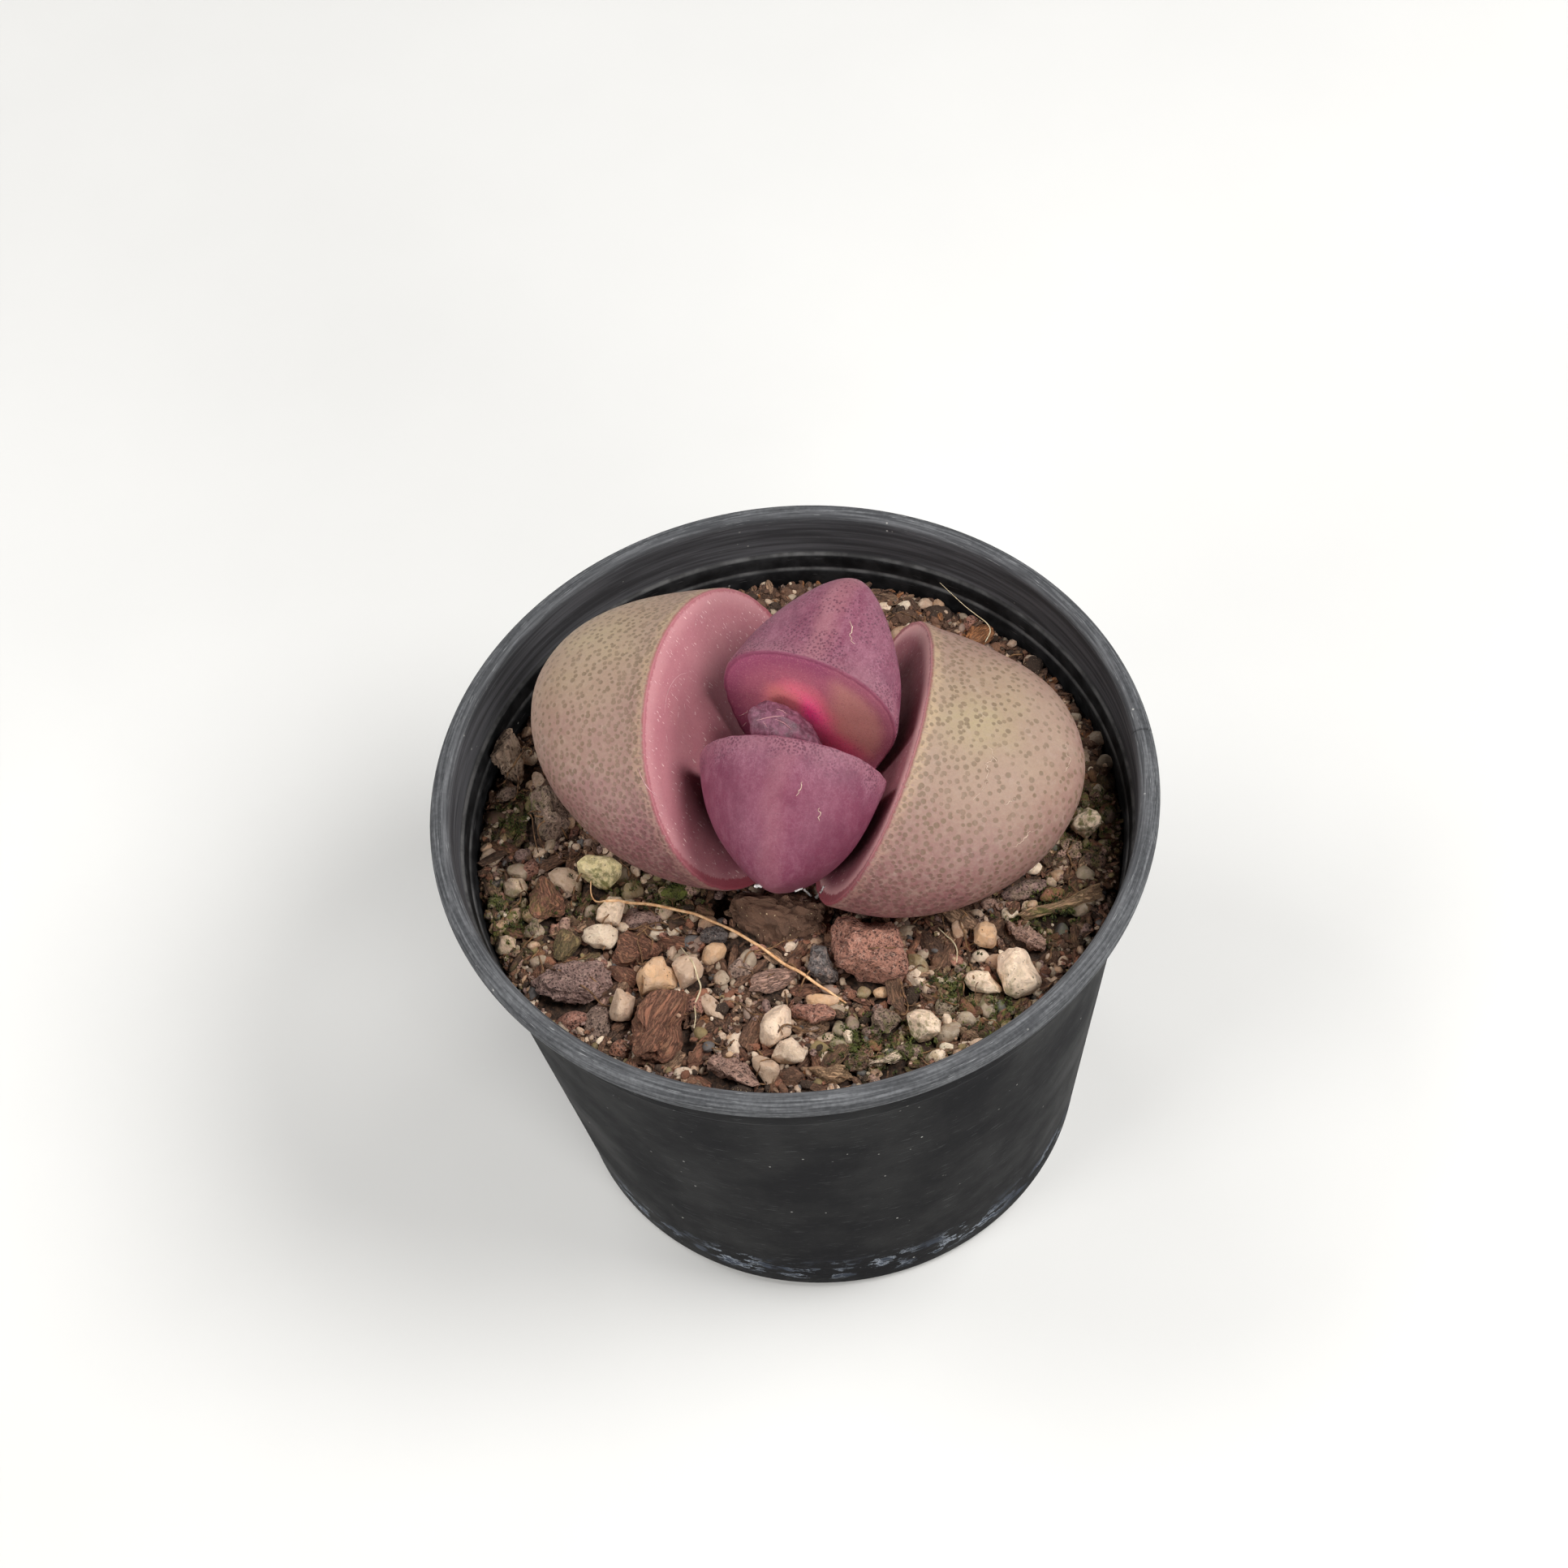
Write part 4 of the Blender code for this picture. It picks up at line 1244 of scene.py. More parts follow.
# %% Where moss grows
MIX_LEVEL = 63.6
MOSS_SPOTS_PX = (
    (1110, 1290, 5.0), (1050, 1285, 3.0), (1235, 1250, 4.0), (620, 1135, 6.0), (830, 1098, 3.5),
    (740, 1100, 3.5), (1345, 1010, 7.0), (1290, 1120, 4.0), (640, 1010, 4.0), (1180, 1215, 3.0),
)
moss_spots = [(at_height(px, py, MIX_LEVEL + 1), reach) for px, py, reach in MOSS_SPOTS_PX]


def nearness(x, y, at, reach):
    """1 at a spot, fading to 0 round it."""
    return math.exp(-(((x - at.x) ** 2 + (y - at.y) ** 2) / reach**2))


def greenness(x, y):
    """How mossy the mix is here, from 0 to 1."""
    return max(nearness(x, y, at, reach) for at, reach in moss_spots)


def store_grit(mesh, own, tint, green):
    store(mesh, "own", own)
    store(mesh, "green", green)
    layer = mesh.attributes.new("tint", "FLOAT_COLOR", "POINT")
    layer.data.foreach_set("color", np.asarray(tint, float).ravel())


def tinted(name, rng, spread=0.12):
    """A tint from the list, a little lighter or darker each time."""
    shade = 1 + rng.uniform(-spread, spread)
    return [min(1, part * shade) for part in rgb(*TINTS[name])[:3]] + [1]


# %% [markdown]
# Grit looks broken, not rolled. So a lump starts as an even ball, and flat facets are struck off it all
# round. The facets' edges are eased, sharply for bark and lava and softly for pumice. Each kind gets a few
# such lumps.


# %% Broken lumps
FACETS = 12
GOLDEN_TURN = math.pi * (3 - math.sqrt(5))
# For each kind: how deep its facets lie, how sharp its edges are, and how uneven it is
LUMP_KINDS = {
    "lava": ((0.62, 0.94), 14, 0.15),
    "pumice": ((0.68, 0.95), 16, 0.06),
    "bark": ((0.56, 0.94), 22, 0.13),
    "crumb": ((0.6, 0.95), 10, 0.16),
    "pebble": ((0.74, 0.96), 12, 0.02),
}
LUMPS_PER_KIND = 12


def ball(detail):
    """The points and triangles of an even ball."""
    shape = bmesh.new()
    bmesh.ops.create_icosphere(shape, subdivisions=detail, radius=1)
    points = np.array([vertex.co for vertex in shape.verts])
    faces = np.array([[vertex.index for vertex in face.verts] for face in shape.faces])
    shape.free()
    return points, faces


balls = {detail: ball(detail) for detail in (1, 2, 3, 4, 5)}


def broken_lump(kind, detail, rng):
    """A ball with facets struck off it, filling the space from -1 to 1, and its triangles."""
    depths, sharpness, uneven = LUMP_KINDS[kind]
    points, faces = balls[detail]
    struck = np.ones(len(points))
    for i in range(FACETS):
        height = 1 - (2 * i + 1) / FACETS
        flat = math.sqrt(1 - height**2)
        way = np.array([flat * math.cos(GOLDEN_TURN * i), flat * math.sin(GOLDEN_TURN * i), height])
        way += [rng.gauss(0, 0.27) for _ in range(3)]
        facing = np.clip(points @ way, 0, None) / np.linalg.norm(way)
        struck += (facing / rng.uniform(*depths)) ** sharpness
    lump = points * (struck ** (-1 / sharpness))[:, None]
    stretch = (0.4, 1, 1) if kind == "bark" else (1, 1, 1)
    seed = rng.randint(1, 99)
    rough = waves(lump * stretch, 0.45, seed) + 0.5 * waves(lump * stretch, 0.2, seed)
    lump *= (1 + uneven * rough)[:, None]
    lump -= (lump.max(0) + lump.min(0)) / 2
    return lump / lump.max(0), faces


lump_rng = random.Random(5)
lumps = {
    (kind, detail): [broken_lump(kind, detail, lump_rng) for _ in range(LUMPS_PER_KIND)]
    for kind in LUMP_KINDS
    for detail in (1, 2, 3, 4)
}
print("lumps:", len(lumps) * LUMPS_PER_KIND)

# %% [markdown]
# The large stones are what anyone who knows the photograph looks for. Each is such a lump in the place and
# size of its measured solid. Then it is pulled, across the line of sight only, until it fills the outline
# that the photograph shows. The outlines are given in pixels.

# %% Stone outlines
OUTLINES_PX = {
    "lava_red": (
        (1023, 1147), (1031, 1128), (1038, 1125), (1067, 1133), (1098, 1134), (1108, 1141), (1114, 1163),
        (1121, 1178), (1120, 1201), (1110, 1216), (1076, 1212), (1057, 1210), (1045, 1200), (1029, 1192),
        (1023, 1177), (1022, 1160),
    ),
    "lava_purple": (
        (652, 1212), (667, 1199), (681, 1188), (703, 1182), (718, 1184), (744, 1183), (754, 1199),
        (755, 1218), (742, 1230), (720, 1238), (696, 1238), (676, 1230), (662, 1225),
    ),
    "lava_grey_left": (
        (650, 977), (659, 969), (674, 963), (682, 969), (691, 983), (701, 998), (707, 1012), (704, 1021),
        (695, 1032), (685, 1039), (671, 1037), (660, 1032), (656, 1013), (652, 995),
    ),
    "lava_rough_left": (
        (600, 930), (610, 912), (621, 897), (632, 896), (640, 915), (647, 941), (645, 962), (641, 972),
        (625, 962), (613, 950),
    ),
    "lava_right": (
        (1243, 1144), (1251, 1138), (1261, 1138), (1275, 1145), (1291, 1155), (1292, 1165), (1284, 1174),
        (1271, 1171), (1259, 1161), (1247, 1154),
    ),
    "lava_front": (
        (1071, 1251), (1077, 1242), (1092, 1240), (1107, 1248), (1113, 1257), (1107, 1266), (1092, 1277),
        (1074, 1266),
    ),
    "lava_rim_right": (
        (1066, 1313), (1074, 1305), (1092, 1301), (1106, 1292), (1113, 1299), (1113, 1308), (1092, 1312),
        (1080, 1319),
    ),
    "lava_rim_front": (
        (869, 1310), (873, 1300), (888, 1300), (903, 1308), (920, 1310), (937, 1332), (941, 1339),
        (920, 1339), (888, 1329), (872, 1320),
    ),
    "stone_red": (
        (975, 1242), (983, 1236), (1001, 1237), (1019, 1236), (1032, 1248), (1028, 1257), (1013, 1260),
        (1001, 1263), (983, 1254),
    ),
    "stone_blue": (
        (999, 1166), (1010, 1162), (1019, 1165), (1022, 1177), (1026, 1189), (1034, 1198), (1034, 1209),
        (1025, 1215), (1014, 1212), (999, 1201), (993, 1194),
    ),
    "stone_grey": (
        (827, 1189), (834, 1179), (846, 1176), (858, 1179), (868, 1192), (865, 1204), (853, 1213),
        (839, 1221), (835, 1208),
    ),
    "pumice_large": (
        (710, 1063), (722, 1053), (741, 1054), (754, 1056), (767, 1066), (765, 1079), (759, 1088),
        (750, 1097), (738, 1096), (722, 1085), (713, 1078),
    ),
    "pumice_left_1": (
        (750, 1104), (766, 1105), (771, 1114), (766, 1131), (762, 1142), (745, 1140), (733, 1134),
        (736, 1120), (744, 1111),
    ),
    "pumice_left_2": (
        (718, 1160), (719, 1146), (732, 1138), (750, 1138), (762, 1145), (762, 1158), (753, 1170),
        (732, 1169),
    ),
    "pumice_left_3": (
        (619, 1090), (628, 1082), (644, 1082), (651, 1093), (648, 1104), (632, 1107), (621, 1102),
    ),
    "pumice_left_4": (
        (610, 1164), (615, 1154), (625, 1152), (636, 1157), (636, 1167), (630, 1176), (616, 1178),
        (610, 1172),
    ),
    "pumice_left_5": (
        (755, 1230), (759, 1217), (766, 1217), (772, 1224), (783, 1228), (782, 1240), (777, 1257),
        (766, 1259), (752, 1257), (750, 1247),
    ),
    "pumice_middle": (
        (783, 1206), (785, 1198), (795, 1187), (805, 1178), (817, 1178), (823, 1190), (832, 1193),
        (836, 1201), (835, 1218), (819, 1221), (798, 1225), (789, 1229),
    ),
    "pumice_front_1": (
        (935, 1276), (936, 1262), (942, 1249), (954, 1240), (968, 1236), (975, 1245), (975, 1276),
        (961, 1282), (949, 1292), (937, 1286),
    ),
    "pumice_front_2": (
        (953, 1293), (961, 1282), (976, 1277), (985, 1286), (994, 1297), (990, 1308), (976, 1312),
        (961, 1311), (950, 1303),
    ),
    "pumice_front_3": (
        (926, 1303), (935, 1300), (947, 1303), (961, 1312), (961, 1321), (952, 1339), (944, 1339),
        (937, 1327), (927, 1315),
    ),
    "pumice_right_1": (
        (1229, 1177), (1243, 1168), (1253, 1166), (1264, 1170), (1271, 1185), (1284, 1207), (1283, 1215),
        (1271, 1225), (1251, 1231), (1238, 1225), (1233, 1209), (1227, 1197),
    ),
    "pumice_right_2": (
        (1188, 1205), (1193, 1197), (1203, 1195), (1218, 1196), (1225, 1207), (1235, 1217), (1234, 1224),
        (1219, 1225), (1199, 1222), (1190, 1214),
    ),
    "pumice_right_3": (
        (1116, 1249), (1132, 1242), (1147, 1245), (1160, 1258), (1159, 1272), (1144, 1283), (1132, 1286),
        (1122, 1275),
    ),
    "pumice_right_4": (
        (1322, 1009), (1331, 1000), (1341, 994), (1352, 999), (1358, 1007), (1357, 1016), (1349, 1025),
        (1338, 1035), (1331, 1030), (1322, 1024), (1318, 1018),
    ),
    "pumice_orange_1": (
        (865, 1177), (869, 1165), (878, 1161), (892, 1162), (896, 1168), (892, 1183), (879, 1192),
        (869, 1192), (864, 1185),
    ),
    "pumice_orange_2": (
        (1200, 1148), (1205, 1137), (1215, 1134), (1225, 1138), (1229, 1146), (1228, 1165), (1223, 1170),
        (1207, 1168), (1199, 1161),
    ),
    "bark_large": (
        (778, 1276), (779, 1257), (785, 1242), (795, 1228), (810, 1219), (832, 1219), (849, 1223),
        (848, 1238), (840, 1262), (842, 1288), (832, 1305), (819, 1312), (807, 1312), (790, 1305),
        (778, 1297),
    ),
    "bark_left_1": (
        (762, 1152), (774, 1146), (789, 1148), (804, 1157), (819, 1170), (810, 1179), (792, 1185),
        (774, 1193), (759, 1193), (754, 1182),
    ),
    "bark_left_2": (
        (668, 1076), (678, 1085), (691, 1101), (698, 1117), (697, 1128), (680, 1132), (659, 1134),
        (650, 1119), (653, 1101), (662, 1085),
    ),
    "bark_left_3": (
        (675, 1076), (686, 1069), (701, 1069), (713, 1076), (718, 1088), (716, 1104), (707, 1113),
        (692, 1105), (680, 1092),
    ),
    "bark_front": (
        (990, 1315), (1015, 1311), (1032, 1309), (1044, 1312), (1051, 1328), (1039, 1334), (1019, 1337),
        (1007, 1327),
    ),
    "bark_clump": (
        (899, 1097), (925, 1100), (973, 1103), (1007, 1113), (1028, 1118), (1029, 1130), (1019, 1144),
        (1011, 1159), (992, 1165), (973, 1177), (952, 1171), (931, 1156), (905, 1138), (900, 1122),
    ),
    "bark_stick": (
        (1253, 1124), (1269, 1118), (1295, 1113), (1316, 1106), (1333, 1096), (1348, 1087), (1356, 1087),
        (1358, 1096), (1360, 1106), (1348, 1111), (1328, 1119), (1307, 1125), (1286, 1130), (1271, 1134),
        (1263, 1135),
    ),
}

BEARINGS = 72
EDGE_STEPS = 12
MOST_PULL = 2.5
bearings = (np.arange(BEARINGS) + 0.5) * math.tau / BEARINGS - math.pi


def seen_at(points):
    """The pixels where points are seen, and their distances from the camera's plane."""
    offsets = points - np.array(eye)
    depth = -(offsets @ np.array(toward))
    right, up = offsets @ np.array(side) / depth, offsets @ np.array(top) / depth
    return np.stack([PHOTO_PX / 2 + right * FOCAL_PX, PHOTO_PX / 2 - up * FOCAL_PX], -1), depth


def behind_pixels(pixels, depth):
    """The points at these distances behind these pixels."""
    right, up = offset_px(pixels[:, 0], pixels[:, 1])
    sights = np.outer(right, side) + np.outer(up, top) - np.array(toward)
    return np.array(eye) + sights * depth[:, None]


def outline_reach(corners):
    """The middle of a closed outline, and how far it reaches from there for each of the even bearings."""
    steps = np.linspace(0, 1, EDGE_STEPS, endpoint=False)[:, None]
    edge = np.concatenate([a + (b - a) * steps for a, b in zip(corners, np.roll(corners, -1, 0))])
    middle = edge.mean(0)
    right, down = (edge - middle).T
    return middle, np.interp(bearings, np.arctan2(down, right), np.hypot(right, down), period=math.tau)


def pulled_to(outline_px, points):
    """The points moved across the line of sight, so that together they fill the outline."""
    pixels, depth = seen_at(points)
    hull = pixels[geometry.convex_hull_2d([tuple(pixel) for pixel in pixels])]
    own_middle, reach = outline_reach(hull)
    middle, wanted = outline_reach(np.array(outline_px, float))
    pull = np.minimum(wanted / reach, MOST_PULL)
    right, down = (pixels - own_middle).T
    scale = np.interp(np.arctan2(down, right), bearings, pull, period=math.tau)
    return behind_pixels(middle + (pixels - own_middle) * scale[:, None], depth)

# %% [markdown]
# Then each kind is roughened as it breaks: bark along its fibres, lava in pits, pumice in soft swells. The
# rough stone on the left has a cup in the side that faces the camera. Nothing may reach into the pot's wall.

# %% Large stones
WALL_CLEAR = 0.05
CUPPED_STONE = "lava_rough_left"
CUP_PX = (633, 930)
CUP_REACH_PX = 7.5
CUP_DEPTH = 1.6


def inside_wall(points):
    """The points pushed in where they would reach into the pot's wall."""
    from_axis = np.hypot(points[:, 0], points[:, 1])
    room = np.array([body_radius(min(z, COLLAR_BOTTOM)) for z in points[:, 2]]) - WALL - WALL_CLEAR
    pushed = points.copy()
    pushed[:, :2] *= np.minimum(1, room / from_axis)[:, None]
    return pushed


FINE_STONES = ("lava_red", "lava_purple", "bark_large", "bark_clump")
ROUGH_LUMPS = 0.3
STONE_EDGE, GRAIN_EDGE = math.radians(34), math.radians(38)


def stone_mesh(name, kind, tint, relief, rng):
    """A broken lump in a measured stone's place, roughened as its kind breaks."""
    solid = points_of(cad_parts[name].data)
    low, high = solid.min(0), solid.max(0)
    plan = solid[:, :2] - (low + high)[:2] / 2
    axes = np.linalg.eigh(np.cov(plan.T))[1].T[::-1]
    turned = np.eye(3)
    turned[:2, :2] = axes
    half = np.append(np.ptp(plan @ axes.T, axis=0), high[2] - low[2]) / 2
    lump, faces = broken_lump(kind, 5 if name in FINE_STONES else 4, rng)
    own = lump * half
    placed = own @ turned + (low + high) / 2
    if name in OUTLINES_PX:
        placed = pulled_to(OUTLINES_PX[name], placed)
    mesh = mesh_of(name + "_surface", placed, faces)
    face_outward(mesh)
    seed = rng.randint(1, 99)
    if kind == "bark":
        rough = waves(own * (0.25, 1.0, 1.3), 0.9, seed) + 0.5 * waves(own * (0.3, 1.6, 2.0), 0.5, seed)
    elif kind == "lava":
        rough = waves(own, 1.5, seed) + 0.7 * waves(own, 0.6, seed) - 0.6 * np.abs(waves(own, 0.9, seed + 1))
    elif kind == "crumb":
        rough = waves(own * (0.5, 1, 1), 0.8, seed) + 0.7 * waves(own, 0.45, seed + 3)
    else:
        rough = waves(own, 1.8, seed) + 0.4 * waves(own, 0.7, seed) + 0.3 * waves(own, 0.45, seed + 2)
    placed = placed + normals_of(mesh) * (relief * (rough - ROUGH_LUMPS))[:, None]
    if name == CUPPED_STONE:
        from_cup = np.linalg.norm(seen_at(placed)[0] - CUP_PX, axis=1) / CUP_REACH_PX
        facing = np.clip(normals_of(mesh) @ np.array(toward), 0, 1)
        placed = placed - np.outer(CUP_DEPTH * facing * np.exp(-(from_cup**4)), np.array(toward))
    move_points(mesh, inside_wall(placed))
    color = tinted(tint, rng, 0.06)
    green = [greenness(x, y) for x, y, _ in placed]
    store_grit(mesh, own, [color] * len(placed), green)
    mesh.set_sharp_from_angle(angle=STONE_EDGE)
    return mesh


for number, (name, (kind, tint, relief)) in enumerate(STONES.items()):
    mesh = stone_mesh(name, kind, tint, relief, random.Random(number))
    add_piece(name + "_fine", mesh, grit_finishes[kind], [name])
print("stones:", len(STONES))

# %% [markdown]
# The mix itself is a lumpy disc that fills the pot. Its height follows the same rule as the measured solid,
# with finer lumps on top. Where a leaf or a stone is pressed into it, the surface dips under it. In front of
# the left leaf is a small dark hollow, where no grain falls later.

# %% Potting mix
MIX_ROUGHNESS = 1.1
MIX_ROWS = 60
MIX_SIDES = 160
MIX_BOTTOM = FLOOR_TOP + GAP
FLOOR_BEND = 1.2
BED_DEPTH, BED_LUMPS = 0.5, 0.35


def mix_height(x, y):
    """The height of the measured solid's top, lower beside the wall."""
    lumps = noise.noise(Vector((x, y, 0)) / 9) + 0.5 * noise.noise(Vector((x, y, 3)) / 4)
    return MIX_LEVEL + MIX_ROUGHNESS * (lumps - 0.8 * (math.hypot(x, y) / BODY_TOP) ** 6)


HOLLOW_PX = (887, 1118)
HOLLOW_REACH = 1.9
HOLLOW_DEPTH = 3.5
hollow = at_height(*HOLLOW_PX, MIX_LEVEL)
leaf_tree = tree_of(*leaf_meshes.values(), bud_mesh)
stone_tree = tree_of(*(pieces[name + "_fine"].data for name in STONES))
UP, DOWN = Vector((0, 0, 1)), Vector((0, 0, -1))


def mix_surface(x, y):
    """The height of the bare mix, which dips under whatever is pressed into it."""
    height = mix_height(x, y) - BED_DEPTH + BED_LUMPS * noise.noise(Vector((x, y, 7)) / 1.1)
    height -= HOLLOW_DEPTH * nearness(x, y, hollow, HOLLOW_REACH)
    for tree in (leaf_tree, stone_tree):
        hit = tree.ray_cast(Vector((x, y, MIX_LEVEL - 20)), UP)[0]
        if hit is not None:
            height = min(height, hit.z - 0.1)
    return height


def in_leaf(spot, clear):
    """Whether a spot lies in a leaf, or nearer to one than this."""
    return leaf_tree.find_nearest(spot, clear)[0] is not None or leaf_tree.ray_cast(spot, DOWN)[0] is not None


mix_reach = body_radius(MIX_LEVEL) - WALL - GAP
mix_turns = np.arange(MIX_SIDES) * math.tau / MIX_SIDES
circle = np.stack([np.cos(mix_turns), np.sin(mix_turns)], -1)


def mix_ring(radius, height=None):
    plan = circle * radius
    heights = [mix_surface(x, y) if height is None else height for x, y in plan]
    return np.column_stack([plan, heights])


mix_rows = [np.array([[0, 0, mix_surface(0, 0)]])]
mix_rows += [mix_ring(mix_reach * i / MIX_ROWS) for i in range(1, MIX_ROWS + 1)]
floor_reach = body_radius(FLOOR_TOP) - WALL - GAP - FLOOR_BEND
mix_rows += [mix_ring(floor_reach, MIX_BOTTOM), np.array([[0, 0, MIX_BOTTOM]])]
mix_mesh = loft("potting_mix", mix_rows)
face_outward(mix_mesh)


def mix_finish():
    finish = Finish("damp_peat")
    crumbs = finish.grain(0.7, detail=5, roughness=0.7)
    color = finish.mix(crumbs.ease(0.35, 0.7), rgb(38, 28, 22), rgb(96, 71, 55))
    fibres = finish.grain(0.35, detail=2).ease(0.66, 0.76)
    color = color.painted(fibres * 0.6, 140, 108, 80)
    finish.set(Base_Color=color, Roughness=0.95, Normal=finish.bump(crumbs, 0.4))
    return finish


add_piece("mix_bed", mix_mesh, mix_finish(), ["soil"])
print("mix:", len(mix_mesh.polygons), "faces")

# %% [markdown]
# The grit between those stones is thousands of chips and crumbs, none alike. They are real small meshes.
# Every grain is one of the broken lumps above, stretched, turned and joined into one mesh with others of
# its kind and size, which needs no instances.


# %% Grains in one mesh
def heap(name, kind, grains):
    """One mesh of grains. A grain is its place, half sizes, turn, tip, tint, detail and lump number."""
    points, faces, own, tint, green = [], [], [], [], []
    start = 0
    for number, (place, sizes, turn, tip, color, detail, choice) in enumerate(grains):
        lump, triangles = lumps[(kind, detail)][choice]
        shaped = lump * sizes
        turned = Matrix.Rotation(turn, 3, "Z") @ Matrix.Rotation(tip, 3, "X")
        points.append(inside_wall(shaped @ np.array(turned).T + place))
        faces.append(triangles + start)
        own.append(shaped + (number * 7.7 % 97, number * 3.1 % 89, 0))
        tint.append(np.tile(color, (len(lump), 1)))
        green.append(np.full(len(lump), greenness(place[0], place[1])))
        start += len(lump)
    mesh = mesh_of(name, np.concatenate(points), np.concatenate(faces))
    store_grit(mesh, np.concatenate(own), np.concatenate(tint), np.concatenate(green))
    return mesh


# %% [markdown]
# The chips that show best in the photograph are placed one by one, each where its pixel's line of sight meets
# the mix. A row gives the kind, the tint, the pixel, the length and width in millimetres and the turn in the
# picture.

